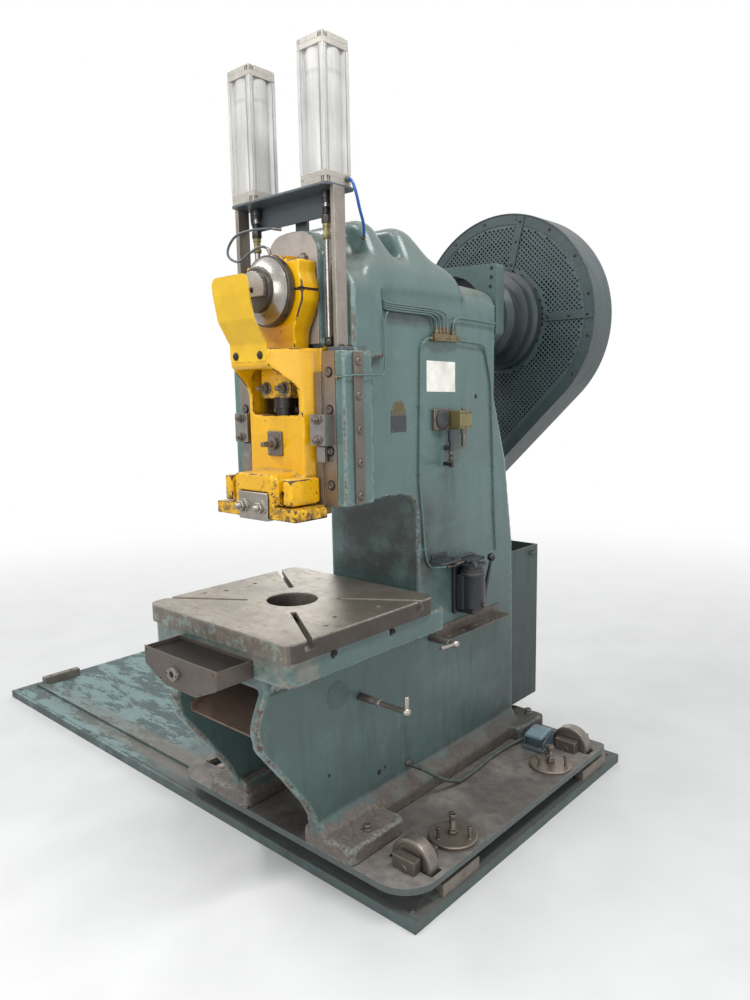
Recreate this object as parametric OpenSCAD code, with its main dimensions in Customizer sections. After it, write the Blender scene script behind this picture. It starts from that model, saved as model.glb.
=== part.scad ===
// Open-front eccentric stamping press on a rolling carriage.
// Millimetres. X to the right, front faces -Y, Z up, origin on the floor under the ram.

/* [Floor plate] */
// Reach of the floor plate to the left of the ram
plate_left = 2100; // [1900:1:2400]
// Reach of the floor plate to the right of the ram
plate_right = 588; // [580:1:640]
// Reach of the floor plate in front of the ram
plate_front = 95; // [80:1:110]
// Reach of the floor plate behind the ram
plate_back = 1243; // [1200:1:1300]
// Thickness of the floor plate
plate_t = 34; // [25:1:45]
// Height of the roller track bars
track_h = 14; // [8:1:16]
// Width of the roller track bars
track_w = 40; // [36:1:46]
// Height of the stop bars on the floor plate
stop_h = 42; // [30:1:50]
// Thickness of the stop bars
stop_t = 35; // [20:1:38]
// Length of the stop bars
stop_len = 190; // [150:1:230]

/* [Carriage] */
// Half width of the carriage plate
car_half = 584; // [580:1:600]
// Front edge of the carriage plate before the ram
car_front = 110; // [100:1:125]
// Rear edge of the carriage plate behind the ram
car_back = 1135; // [1120:1:1160]
// Thickness of the carriage plate
car_t = 22; // [16:1:25]
// Radius of the carriage plate's front corners
car_r = 120; // [60:1:140]
// Radius of the carriage rollers
roller_r = 76; // [70:1:80]
// Radius of the low rollers on the left
low_r = 33; // [28:1:36]
// Width of the rollers
roller_w = 44; // [30:1:50]
// Half distance between left and right rollers
roller_x = 484; // [470:1:490]
// Radius of the roller axles
axle_r = 16; // [12:1:20]
// Travel of the carriage to the left
car_travel = 1500; // [1000:10:1510]
// Radius of the levelling discs
disc_r = 80; // [60:1:82]
// Thickness of the levelling discs
disc_t = 14; // [10:1:20]

/* [Frame casting] */
// Half width over the frame walls
wall_x = 215; // [205:1:225]
// Thickness of the frame walls
wall_t = 34; // [25:1:45]
// Distance of the column front face behind the ram
throat = 400; // [360:1:430]
// Height of the throat ceiling
throat_z = 1195; // [1150:1:1210]
// Height of the crankshaft axis
axis_z = 1830; // [1820:1:1835]
// Height of the ribs on top of the head
rib_z = 2088; // [2060:1:2110]
// Half width of the guide head
guide_x = 260; // [250:1:275]
// Top of the guide head
guide_top = 1665; // [1655:1:1680]
// Depth of the guide head behind the ram axis
guide_y = 130; // [110:1:150]
// Outer reach of the front feet
foot_x = 360; // [340:1:375]
// Height of the foot pads
foot_h = 56; // [45:1:65]

/* [Table] */
// Half width of the bolster plate
bolster_x = 344; // [330:1:360]
// Half depth of the bolster plate
bolster_y = 325; // [300:1:335]
// Thickness of the bolster plate
bolster_t = 57; // [45:1:70]
// Height of the bolster's top face
table_z = 868; // [850:1:890]
// Radius of the drop hole in the bolster
hole_r = 85; // [60:1:95]
// Width of the T-slot necks
slot_w = 19; // [14:1:22]
// Width of the T-slot feet
slot_foot = 32; // [28:1:38]
// Thickness of the bed's top flange
apron_t = 76; // [60:1:90]

/* [Ram] */
// Half width of the ram between the guides
ram_x = 166; // [158:1:168]
// Half width of the ram's front body
ram_front_x = 140; // [132:1:142]
// Front face of the ram before its axis
ram_front = 45; // [42:1:50]
// Rear face of the ram behind its axis
ram_back = 60; // [50:1:64]
// Top of the ram at the top of its stroke
ram_top = 1676; // [1670:1:1684]
// Bottom of the ram at the top of its stroke
ram_bottom = 1161; // [1150:1:1170]
// Sliding clearance of the ram in its guides
slide_gap = 0.3; // [0.2:0.05:0.5]
// Radius of the tool shank hole
shank_r = 20; // [15:1:25]

/* [Eccentric drive] */
// Crank throw, half of the stroke
throw = 20; // [12:1:21]
// Radius of the crank pin
pin_r = 55; // [50:1:56]
// Radius of the eccentric sleeve
sleeve_r = 84; // [82:1:88]
// Outer radius of the connecting rod's big end
big_end_r = 135; // [126:1:138]
// Radius of the main journals
journal_r = 62; // [55:1:66]
// Running clearance of shafts in their bores
run_gap = 0.05; // [0.02:0.01:0.1]
// Radius of the ball at the foot of the adjusting screw
ball_r = 35; // [32:1:36]
// Height of the ball's centre at the top of the stroke
ball_z = 1418; // [1400:1:1424]
// Radius of the adjusting screw
screw_r = 29; // [24:1:30]

/* [Counterbalance] */
// Half distance between the two air cylinders
cyl_x = 162; // [150:1:170]
// Place of the air cylinders behind the ram axis
cyl_y = 44; // [40:1:50]
// Side of the square cylinder caps
cap_w = 111; // [104:1:116]
// Height of each cylinder cap
cap_h = 34; // [30:1:40]
// Overall height of the air cylinders
cyl_h = 407; // [380:1:420]
// Top of the plate that carries the cylinders
deck_z = 2142; // [2130:1:2160]
// Thickness of that plate
deck_t = 8; // [6:1:12]
// Radius of the balance rods
rod_r = 9; // [7:1:11]
// Bore radius of the air cylinders
bore_r = 50; // [46:1:50]

/* [Flywheel and guard] */
// Radius of the flywheel
wheel_r = 395; // [360:1:405]
// Width of the flywheel rim
wheel_w = 110; // [90:1:120]
// Front face of the guard
guard_y = 1240; // [1240:1:1250]
// Depth of the guard
guard_d = 150; // [144:1:160]
// Outer radius of the guard
guard_r = 440; // [434:1:448]
// Radius of the guard's opening round the hub
guard_hub_r = 212; // [209:1:220]
// Sheet thickness of the guard
sheet_t = 3; // [2:0.5:4]
// Pitch of the guard's perforation
mesh_pitch = 60; // [56:1:80]
// Side of the guard's square holes
mesh_hole = 26; // [16:1:30]
// Motor pulley place across
motor_x = -320; // [-326:1:-316]
// Motor pulley height
motor_z = 1118; // [1100:1:1130]
// Motor pulley radius
pulley_r = 90; // [70:1:96]

/* [Side fittings] */
// Radius of the oil pipes
pipe_r = 4; // [3:0.5:5]
// Radius of the pedal cable
cable_r = 7; // [6:0.5:8]
// Half length of the crank handles' knobs
knob_r = 8; // [6:1:10]

/* [Hidden] */
$fn = 64;

// Colours seen on the machine
teal = "#5f8582";
yellow = "#f2b705";
steel = "#8d8c89";
dark = "#3f4143";
brass = "#8c7a3c";

// Heights and places worked out from the sizes above
track_z = plate_t + track_h;
axle_z = track_z + roller_r;
car_top = 116;
car_low = car_top - car_t;
front_roller_y = 34;
rear_roller_y = 1034;
low_z = track_z + low_r;
stop_x = roller_x + sqrt(roller_r * roller_r - pow(axle_z - plate_t - stop_h, 2)) + 3;
left_stop_x = -roller_x - low_r - car_travel - 3;
bolster_low = table_z - bolster_t;
apron_low = bolster_low - apron_t;
sleeve_z = axis_z + throw;
window_floor = 1474;
window_top = 1616;
sleeve_front = -42;
sleeve_back = 38;
cap_top = deck_z + cyl_h;
deck_low = deck_z - deck_t;
guard_back = guard_y + guard_d;
wheel_front = guard_y + 18;
stroke = 2 * throw;

// Rounded outline: each corner is [u, v, radius], n steps round each arc
function unit(v) = v / norm(v);
function corner(a, b, c, n) = len(b) < 3 || b[2] == 0 ? [[b[0], b[1]]] :
    let (p = [b[0], b[1]], u = unit([a[0], a[1]] - p), v = unit([c[0], c[1]] - p),
        half = acos(u * v) / 2, o = p + unit(u + v) * b[2] / sin(half),
        s = p + u * b[2] / tan(half), e = p + v * b[2] / tan(half),
        a0 = atan2(s[1] - o[1], s[0] - o[0]), a1 = atan2(e[1] - o[1], e[0] - o[0]),
        raw = a1 - a0, turn = raw > 180 ? raw - 360 : raw < -180 ? raw + 360 : raw)
    [for (i = [0 : n]) o + b[2] * [cos(a0 + turn * i / n), sin(a0 + turn * i / n)]];
function rounded(p, n = 5) = let (k = len(p))
    [for (i = [0 : k - 1]) each corner(p[(i + k - 1) % k], p[i], p[(i + 1) % k], n)];

// A side outline in (y, z) carried across from x0 to x1
module across(x0, x1) translate([x0, 0, 0]) rotate([90, 0, 90]) linear_extrude(x1 - x0) children();
// A front outline in (x, z) carried back from y0 to y1
module back(y0, y1) translate([0, y1, 0]) rotate([90, 0, 0]) linear_extrude(y1 - y0) children();
// Rods along each axis
module rod_x(r, x0, x1, y, z) translate([x0, y, z]) rotate([0, 90, 0]) cylinder(r = r, h = x1 - x0);
module rod_y(r, y0, y1, x, z) translate([x, y0, z]) rotate([-90, 0, 0]) cylinder(r = r, h = y1 - y0);
module rod_z(r, z0, z1, x, y) translate([x, y, z0]) cylinder(r = r, h = z1 - z0);
// A block between two corners
module block(a, b) translate(a) cube(b - a);
// A plate with rounded corners seen from above
module slab(x0, x1, y0, y1, z0, z1, r) translate([0, 0, z0]) linear_extrude(z1 - z0)
    polygon(rounded([[x0, y0, r], [x1, y0, r], [x1, y1, r], [x0, y1, r]]));
module both_sides() { children(); mirror([1, 0, 0]) children(); }
// A straight rod between two points
module strut(a, b, r) {
    d = b - a;
    translate(a) rotate([0, acos(d[2] / norm(d)), atan2(d[1], d[0])]) cylinder(r = r, h = norm(d), $fn = 24);
}
// A hexagon head or nut along -Y
module hex_y(r, y0, y1, x, z) translate([x, y1, z]) rotate([90, 0, 0]) cylinder(r = r, h = y1 - y0, $fn = 6);
// A socket head screw standing up, or facing front or right
module socket_head(r, h) difference() {
    cylinder(r = r, h = h);
    translate([0, 0, h * 0.45]) cylinder(r = r * 0.55, h = h, $fn = 6);
}
// A swept round tube: one ring of points at each point of the route, square to its direction
function way(p, i) = unit(p[min(i + 1, len(p) - 1)] - p[max(i - 1, 0)]);
function ring(p, i, r, n, across_dir) = let (t = way(p, i), s = unit(cross(t, across_dir)), w = cross(s, t))
    [for (k = [0 : n - 1]) p[i] + r * (cos(360 * k / n) * s + sin(360 * k / n) * w)];
module swept(p, r, across_dir = [0, 0, 1], n = 8) {
    m = len(p);
    polyhedron(
        points = [for (i = [0 : m - 1]) each ring(p, i, r, n, across_dir)],
        faces = concat([[for (k = [0 : n - 1]) n - 1 - k]], [[for (k = [0 : n - 1]) (m - 1) * n + k]],
            [for (i = [0 : m - 2], k = [0 : n - 1]) [i * n + k, i * n + (k + 1) % n, (i + 1) * n + (k + 1) % n]],
            [for (i = [0 : m - 2], k = [0 : n - 1]) [i * n + k, (i + 1) * n + (k + 1) % n, (i + 1) * n + k]]));
}
// A smooth route through hand-picked points, k steps between each pair
function at(p, i) = p[max(0, min(i, len(p) - 1))];
function smooth_point(a, b, c, d, t) = 0.5 * ((2 * b) + (c - a) * t + (2 * a - 5 * b + 4 * c - d) * t * t
    + (3 * b - a - 3 * c + d) * t * t * t);
function smooth(p, k) = concat([for (i = [0 : len(p) - 2], j = [0 : k - 1])
    smooth_point(at(p, i - 1), p[i], p[i + 1], at(p, i + 2), j / k)], [p[len(p) - 1]]);

// Floor plate with its roller tracks and the stop bars at both ends
module track_bars() for (y = [front_roller_y, rear_roller_y])
    block([-plate_left + 50, y - track_w / 2, plate_t - 1], [stop_x + 20, y + track_w / 2, track_z]);
module stop_bars() {
    for (x = [stop_x, left_stop_x - stop_t])
        block([x, front_roller_y + 13, plate_t - 1], [x + stop_t, front_roller_y + 13 + stop_len, plate_t + stop_h]);
    for (x = [stop_x, left_stop_x - stop_t])
        block([x, rear_roller_y - 90, plate_t - 1], [x + stop_t, rear_roller_y - 90 + stop_len, plate_t + stop_h]);
}
module floor_plate() color(teal) {
    difference() {
        block([-plate_left, -plate_front, 0], [plate_right, plate_back, plate_t]);
        block([-plate_left - 1, -plate_front + 14, plate_t - 2], [plate_right + 1, -plate_front + 18, plate_t + 1]);
    }
    track_bars();
    stop_bars();
    for (x = [-plate_left + 24, plate_right - 40], y = [-plate_front + 36, plate_back - 30])
        rod_z(9, plate_t - 1, plate_t + 5, x, y);
}

// Rolling carriage under the frame
module roller_windows() for (y = [front_roller_y, rear_roller_y]) {
    block([roller_x - roller_r - 8, y - roller_w / 2 - 4, car_low - 1], [roller_x + roller_r + 8, y + roller_w / 2 + 4, car_top + 1]);
    block([-roller_x - low_r - 6, y - roller_w / 2 - 4, car_low - 1], [-roller_x + low_r + 6, y + roller_w / 2 + 4, car_top + 1]);
}
axle_out = roller_w / 2 + 2 + 36 + 2;
module carriage_plate() color(teal) difference() {
    translate([0, 0, car_low]) linear_extrude(car_t) polygon(rounded([[-car_half, -car_front, car_r],
        [car_half, -car_front, car_r], [car_half, car_back, 24], [-car_half, car_back, 24]], 10));
    roller_windows();
    for (y = [front_roller_y, rear_roller_y]) rod_y(axle_r + 0.05, y - axle_out - 0.5, y + axle_out + 0.5, roller_x, axle_z);
    for (p = disc_places) rod_z(14, car_low - 1, car_top + 1, p[0], p[1]);
}
disc_places = [[494, 215], [500, 835], [-494, 215], [-500, 835]];
block_t = 36;
side_gap = 2;
module tall_blocks(y) {
    for (s = [-1, 1]) {
        y0 = y + s * (roller_w / 2 + side_gap + block_t / 2);
        block([roller_x - 43, y0 - block_t / 2, car_top], [roller_x + 43, y0 + block_t / 2, axle_z + 36]);
    }
    rod_y(axle_r, y - roller_w / 2 - side_gap - block_t - 2, y + roller_w / 2 + side_gap + block_t + 2, roller_x, axle_z);
}
module low_blocks(y) {
    for (s = [-1, 1]) {
        y0 = y + s * (roller_w / 2 + 14);
        block([-roller_x - 20, y0 - 10, low_z - 14], [-roller_x + 20, y0 + 10, car_low]);
    }
    rod_y(low_r * 0.36, y - roller_w / 2 - 24, y + roller_w / 2 + 24, -roller_x, low_z);
    block([-roller_x - 62, y - 28, car_top], [-roller_x - 40, y + 28, car_top + 10]);
}
module axle_blocks() color(steel) for (y = [front_roller_y, rear_roller_y]) {
    tall_blocks(y);
    low_blocks(y);
}
module roller(x, z, r, hole, y) color(steel) difference() {
    rod_y(r, y - roller_w / 2, y + roller_w / 2, x, z);
    rod_y(hole + run_gap, y - roller_w, y + roller_w, x, z);
    for (s = [-1, 1]) difference() {
        translate([x, y + s * roller_w / 2, z]) rotate([90, 0, 0]) cylinder(r = r * 0.8, h = 6, center = true);
        translate([x, y + s * roller_w / 2, z]) rotate([90, 0, 0]) cylinder(r = hole + r * 0.15, h = 8, center = true);
    }
}
module roller_front_right() roller(roller_x, axle_z, roller_r, axle_r, front_roller_y);
module roller_front_left() roller(-roller_x, low_z, low_r, low_r * 0.36, front_roller_y);
module roller_rear_right() roller(roller_x, axle_z, roller_r, axle_r, rear_roller_y);
module roller_rear_left() roller(-roller_x, low_z, low_r, low_r * 0.36, rear_roller_y);
module levelling_discs() color(steel) for (p = disc_places) difference() {
    translate([p[0], p[1], car_top]) rotate_extrude()
        polygon([[0, 0], [disc_r - 3, 0], [disc_r - 3, disc_t - 8], [disc_r, disc_t - 6], [disc_r, disc_t - 2],
            [disc_r - 2, disc_t], [0, disc_t]]);
    rod_z(10.2, car_top - 1, car_top + disc_t + 1, p[0], p[1]);
}
module levelling_screws() color(steel) for (p = disc_places) {
    rod_z(10, car_low, car_top + disc_t + 62, p[0], p[1]);
    translate([p[0], p[1], car_top + disc_t]) cylinder(r = 19, h = 16, $fn = 6);
    translate([p[0], p[1], car_top + disc_t + 50]) socket_head(13, 18);
    for (a = [12, 132, 252]) translate([p[0] + 58 * cos(a), p[1] + 58 * sin(a), car_top + disc_t]) {
        cylinder(r = 5.5, h = 30);
        translate([0, 0, 30]) socket_head(8.5, 12);
    }
}

// Frame casting: two walls, bed flange, column, head with ribs, guide cheeks and feet
side_outline = [[-118, car_top, 0], [-118, 205, 20], [-162, 290, 60], [-240, 398, 0], [-332, 520, 60],
    [-345, 596, 60], [-304, 690, 30], [-304, apron_low + 1, 0], [throat, apron_low + 1, 0],
    [throat, throat_z, 90], [5, throat_z, 0], [5, throat_z + 20, 0], [guide_y, throat_z + 20, 0],
    [guide_y, 1690, 0], [170, 1905, 60], [880, 1905, 30], [873, 1513, 0], [954, 1267, 300],
    [1011, 913, 300], [1021, 300, 0], [1021, car_top, 0]];
module side_walls() intersection() {
    both_sides() across(wall_x - wall_t, wall_x) polygon(rounded(side_outline));
    head_arch();
}
arch_outline = [[-wall_x, 0, 0], [wall_x, 0, 0], [wall_x, 1896, 96], [60, 1944, 200], [-60, 1944, 200],
    [-wall_x, 1896, 96]];
module head_arch() back(-400, 1200) polygon(rounded(arch_outline, 8));
module head_block() intersection() {
    across(-wall_x, wall_x) polygon(rounded([[guide_y, 1470, 0], [873, 1560, 0], [873, 1905, 60],
        [800, 1944, 60], [170, 1944, 80], [guide_y, 1690, 0]]));
    head_arch();
}
rib_bell = [[-228, 1860, 0], [228, 1860, 0], [214, 1925, 60], [138, rib_z, 60], [-138, rib_z, 60],
    [-214, 1925, 60]];
rib_side = [[120, 1800, 0], [150, 1935, 40], [203, 1968, 10], [205, rib_z, 22], [266, rib_z, 34],
    [318, 1975, 40], [376, 1962, 8], [378, rib_z, 22], [446, rib_z, 40], [520, 1990, 90],
    [660, 1938, 90], [660, 1800, 0]];
module head_ribs() intersection() {
    across(-230, 230) polygon(rounded(rib_side));
    back(100, 700) polygon(rounded(rib_bell, 6));
}
module front_boss() back(50, 215) polygon(rounded([[-116, 1690, 0], [116, 1690, 0], [116, 2040, 80],
    [-116, 2040, 80]], 8));
module head_shoulders() back(70, 210) polygon(rounded([[-238, guide_top - 20, 0], [238, guide_top - 20, 0],
    [238, 1880, 90], [120, 1965, 60], [-120, 1965, 60], [-238, 1880, 90]], 6));
module guide_cheeks() difference() {
    block([-guide_x, 0, throat_z], [guide_x, guide_y, guide_top]);
    block([-ram_x - slide_gap, -1, throat_z - 1], [ram_x + slide_gap, ram_back + slide_gap, guide_top + 1]);
    both_sides() block([ram_x, -1, throat_z - 1], [gib_out, gib_depth, guide_top + 1]);
    both_sides() rod_z(20, guide_top - 60, guide_top + 1, cyl_x, cyl_y);
}
module guide_web() block([-wall_x, ram_back + slide_gap, throat_z], [wall_x, throat, 1700]);
module bed_top() difference() {
    union() {
        slab(-332, 332, -bolster_y + 10, throat, apron_low, bolster_low, 26);
        both_sides() across(wall_x - 4, wall_x + 20) polygon([[-290, apron_low - 40], [-270, apron_low + 1],
            [throat, apron_low + 1], [throat, apron_low - 40]]);
        block([-wall_x, -304, apron_low - 40], [wall_x, -262, apron_low + 1]);
    }
    rod_z(hole_r + 12, apron_low - 60, bolster_low + 1, 0, 0);
    for (s = [-1, 1], y = [-150, 110]) block([s > 0 ? 318 : -334, y, bolster_low - 34], [s > 0 ? 334 : -318, y + 22, bolster_low + 1]);
}
module column_front() block([-wall_x, throat, car_top], [wall_x, throat + wall_t, throat_z + 1]);
module column_back() intersection() {
    across(-wall_x, wall_x) polygon([[836, 1600], [873, 1513], [954, 1267], [1011, 913], [1021, 300],
        [1021, 160], [985, 160], [985, 300], [975, 905], [920, 1250]]);
    head_arch();
}
module foot(y0, y1, x) {
    both_sides() slab(wall_x - wall_t - 37, x, y0, y1, car_top, car_top + foot_h, 22);
    both_sides() back(y0 + 12, min(y1 - 12, 1015)) polygon([[wall_x - 60, car_top], [wall_x + 30, car_top],
        [wall_x + 28, car_top + foot_h], [wall_x, car_top + foot_h + 40], [wall_x - 60, car_top + foot_h + 40]]);
}
module plinth() both_sides() back(100, 1000) polygon([[wall_x - wall_t, car_top], [wall_x + 48, car_top],
    [wall_x + 46, car_top + 44], [wall_x, car_top + 92], [wall_x - wall_t, car_top + 92]]);
module frame() color(teal) difference() {
    union() {
        side_walls();
        head_block();
        head_ribs();
        front_boss();
        head_shoulders();
        guide_cheeks();
        guide_web();
        bed_top();
        column_front();
        column_back();
        foot(-118, 139, foot_x);
        foot(935, 1130, 308);
        plinth();
    }
    rod_y(bush_r, 40, 180, 0, axis_z);
    rod_y(bush_r, 760, 900, 0, axis_z);
    rod_y(journal_r + 25, 179, 761, 0, axis_z);
    block([-ram_x - slide_gap, -1, throat_z - 10], [ram_x + slide_gap, ram_back + slide_gap, 1690]);
    both_sides() block([ram_x, -1, throat_z - 1], [gib_out, gib_depth, guide_top + 1]);
    for (x = [-foot_x + 45, foot_x - 45]) rod_z(11, car_top - 1, car_top + foot_h + 1, x, 5);
    for (x = [-250, 250]) rod_z(11, car_top - 1, car_top + foot_h + 1, x, 1090);
    rod_x(crank_r + run_gap, wall_x - 30, wall_x + 1, crank_front[1], crank_front[2]);
    rod_x(crank_r + run_gap, wall_x - 30, wall_x + 1, crank_rear[1], crank_rear[2]);
}
bush_r = journal_r + 14;
crank_r = 9;
crank_front = [wall_x, 89, 560];
crank_rear = [wall_x, 460, 662];
module foot_bolts() color(dark) {
    for (x = [-foot_x + 45, foot_x - 45]) translate([x, 5, car_top + foot_h]) bolt_down();
    for (x = [-250, 250]) translate([x, 1090, car_top + foot_h]) bolt_down();
}
module bolt_down() {
    translate([0, 0, -foot_h]) cylinder(r = 10.9, h = foot_h);
    cylinder(r = 17, h = 5);
    translate([0, 0, 5]) socket_head(13, 14);
}

// Bolster plate with four T-slots and a drop hole
slot_angle = 32.3;
module t_slot() translate([112, 98, table_z]) rotate([0, 0, slot_angle]) {
    translate([0, -slot_w / 2, -30]) cube([400, slot_w, 31]);
    translate([-4, -slot_foot / 2, -32]) cube([400, slot_foot, 15]);
}
module bolster() color(steel) difference() {
    slab(-bolster_x, bolster_x, -bolster_y, bolster_y, bolster_low, table_z, 34);
    rod_z(hole_r, bolster_low - 1, table_z + 1, 0, 0);
    both_sides() { t_slot(); mirror([0, 1, 0]) t_slot(); }
    for (p = [[-295, -134], [-262, -68], [-262, 57], [292, -128], [285, 110], [250, -52]])
        rod_z(8, table_z - 25, table_z + 1, p[0], p[1]);
}
// Drop tube under the bolster and the sloping scrap chute in the bed
module scrap_chute() color("#6b5348") {
    difference() {
        rod_z(hole_r + 9, apron_low - 20, bolster_low, 0, 0);
        rod_z(hole_r + 3, apron_low - 31, bolster_low + 1, 0, 0);
    }
    across(-wall_x + wall_t, wall_x - wall_t) polygon([[-290, 528], [120, 672], [120, 678], [-290, 534]]);
    both_sides() across(wall_x - wall_t - 5, wall_x - wall_t) polygon([[-290, 528], [120, 672], [120, 702],
        [-290, 558]]);
}
// Steel box under the table's front edge
box_front = -445;
module box_shape(t) polygon([[-180 + t, 790 - t], [180 - t, 790 - t], [180 - t, 735 + t / 2],
    [75 - t / 2, 690 + t], [-75 + t / 2, 690 + t], [-180 + t, 735 + t / 2]]);
module front_box() color("#6d6762") {
    difference() {
        back(box_front, -bolster_y + 10) box_shape(0);
        back(box_front + 4, -bolster_y + 11) box_shape(4);
        rod_y(11, box_front - 10, box_front + 10, -25, 737);
    }
    difference() {
        back(box_front - 10, box_front) polygon(rounded([[-61, 737, 9], [-25, 712, 20], [11, 737, 9], [-25, 762, 20]]));
        rod_y(11, box_front - 15, box_front + 5, -25, 737);
        for (x = [-49, -1]) rod_y(3.5, box_front - 15, box_front + 5, x, 737);
    }
}

// Guides: front bars, side strips, their screws and the knock-out stops
gib_in = ram_front_x + slide_gap + 3;
gib_out = 224;
gib_depth = 30;
module gib_bars() color(steel) both_sides() {
    block([171, -1.5, throat_z], [gib_out, gib_depth, guide_top]);
    block([gib_in, -8, throat_z + 4], [171, 2, guide_top - 60]);
}
module side_strips() color(steel) both_sides() block([guide_x, 38, throat_z + 8], [guide_x + 7, 78, guide_top - 4]);
stop_block_z = [1384, 1477];
module stop_blocks() color(steel) both_sides() {
    block([150, -38, stop_block_z[0]], [213, -8, stop_block_z[1]]);
    block([172, -8, stop_block_z[0]], [213, -1.5, stop_block_z[1]]);
    block([158, -20, 1332], [192, -8, 1378]);
}
module guide_screws() color(dark) {
    both_sides() for (z = [1602, 1489.5, 1365, 1261]) translate([200, -1.5, z]) rotate([90, 0, 0]) socket_head(11, 5);
    both_sides() for (z = [1633, 1530, 1428, 1328, 1226]) translate([guide_x + 7, 58, z])
        rotate([0, 90, 0]) socket_head(10, 5);
    both_sides() for (z = [1400, 1462]) {
        rod_y(16, -41, -38, 182, z);
        hex_y(13, -50, -41, 182, z);
        rod_y(7, -58, -50, 182, z);
    }
}
module front_cover() color(steel) difference() {
    back(45, 50) polygon(rounded([[-114, 1692, 0], [114, 1692, 0], [114, 2036, 78], [-114, 2036, 78]], 8));
    rod_y(journal_r + 6, 40, 60, 0, axis_z);
}
module main_bushes() color(brass) for (y = [[50, 180], [760, 880]]) difference() {
    rod_y(bush_r, y[0], y[1], 0, axis_z);
    rod_y(journal_r + run_gap, y[0] - 1, y[1] + 1, 0, axis_z);
}

// Counterbalance: posts, deck, cylinders and rods
post_foot_z = guide_top + 12;
module cylinder_frame() color("#4c5358") {
    difference() {
        slab(-222, 222, -17, 114, deck_low, deck_z, 6);
        both_sides() rod_z(rod_r + 7, deck_low - 1, deck_z + 1, cyl_x, cyl_y);
    }
    difference() {
        back(-6, 6) polygon(rounded([[-204, deck_low], [204, deck_low], [204, deck_low - 70, 26], [-204, deck_low - 70, 26]]));
        both_sides() block([cyl_x - 24, -20, deck_low - 60], [cyl_x + 24, 60, deck_low - 1]);
    }
    both_sides() block([212, 10, post_foot_z], [228, 56, deck_low]);
    both_sides() slab(190, 250, 4, 60, guide_top, post_foot_z, 4);
    block([-26, 90, 2040], [26, 102, deck_low + 1]);
}
module profile_tube() difference() {
    union() {
        cylinder(r = bore_r + 3.5, h = cyl_h - 2 * cap_h);
        for (x = [-1, 1], y = [-1, 1]) translate([x * (cap_w / 2 - 10) - 9, y * (cap_w / 2 - 10) - 9, 0])
            cube([18, 18, cyl_h - 2 * cap_h]);
    }
    translate([0, 0, -1]) cylinder(r = bore_r, h = cyl_h);
}
module cylinder_tubes() color("#c9c8c4") both_sides() translate([cyl_x, cyl_y, deck_z + cap_h]) profile_tube();
module cap_block(z) difference() {
    slab(cyl_x - cap_w / 2, cyl_x + cap_w / 2, cyl_y - cap_w / 2, cyl_y + cap_w / 2, z, z + cap_h, 5);
    for (x = [-1, 1], y = [-1, 1]) rod_z(4, z - 1, z + cap_h + 1, cyl_x + x * (cap_w / 2 - 2), cyl_y + y * (cap_w / 2 - 10));
    for (x = [-1, 1], y = [-1, 1]) rod_z(4, z - 1, z + cap_h + 1, cyl_x + x * (cap_w / 2 - 10), cyl_y + y * (cap_w / 2 - 2));
}
module cylinder_caps() color("#bdbab4") both_sides() {
    cap_block(cap_top - cap_h);
    difference() {
        union() {
            cap_block(deck_z);
            rod_z(16, deck_low - 24, deck_z + 1, cyl_x, cyl_y);
        }
        rod_z(rod_r + run_gap, deck_low - 30, deck_z + cap_h + 1, cyl_x, cyl_y);
    }
}
piston_z = deck_z + cap_h + stroke + 30;
module balance_rods() color("#b9b6ae") both_sides() {
    rod_z(rod_r, ram_top + 8, piston_z, cyl_x, cyl_y);
    rod_z(bore_r - run_gap, piston_z, piston_z + 26, cyl_x, cyl_y);
    rod_z(14, deck_low - 92, deck_low - 70, cyl_x, cyl_y);
    rod_z(14, ram_top + 8, ram_top + 24, cyl_x, cyl_y);
}
module air_hose() color("#1f4e9a") swept([[cyl_x + cap_w / 2 + 1.2, cyl_y + 30, deck_z + 18], [cyl_x + 76, cyl_y + 31, deck_z + 15],
    [cyl_x + 86, 84, deck_z - 26], [cyl_x + 74, 110, deck_z - 62], [cyl_x + 50, 150, deck_z - 90],
    [cyl_x + 20, 186, deck_z - 112], [cyl_x + 8, 197, deck_z - 119]], 5, [0, 1, 0]);
hose_route = [[-30, 34, 2050], [-60, 10, 2054], [-120, -20, 2052], [-175, -34, 2040], [-205, -42, 2005],
    [-195, -46, 1975], [-150, -44, 1958], [-104, -38, 1978], [-66, -28, 1994], [-42, -18, 1988], [-32, -12, 1966.5]];
module lube_hose() color(dark) swept(smooth(hose_route, 2), 4, [0, 1, 0]);

// Crankshaft, stroke-setting sleeve and lock ring
module crankshaft() color(steel) {
    rod_y(journal_r, 40.5, 1300, 0, axis_z);
    rod_y(pin_r, -108, 42.5, 0, sleeve_z);
    difference() {
        rod_y(pin_r, -121, -107, 0, sleeve_z);
        block([-70, -122, sleeve_z - 60], [70, -108, sleeve_z - 20]);
        rod_y(4, -123, -110, 0, sleeve_z);
    }
}
module eccentric_sleeve() color(steel) difference() {
    rod_y(sleeve_r, sleeve_front, sleeve_back, 0, sleeve_z);
    rod_y(pin_r, sleeve_front - 1, sleeve_back + 1, 0, sleeve_z);
}
module lock_ring() color(steel) difference() {
    translate([0, sleeve_front, sleeve_z]) rotate([90, 0, 0]) rotate_extrude()
        polygon([[0, 0], [107, 0], [107, 23], [101, 23], [101, 27], [72, 53], [67, 53], [67, 67], [0, 67]]);
    rod_y(pin_r, -120, sleeve_front + 1, 0, sleeve_z);
    for (a = [45, 225]) translate([104 * cos(a), sleeve_front - 12, sleeve_z + 104 * sin(a)]) sphere(r = 9, $fn = 24);
}

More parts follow.
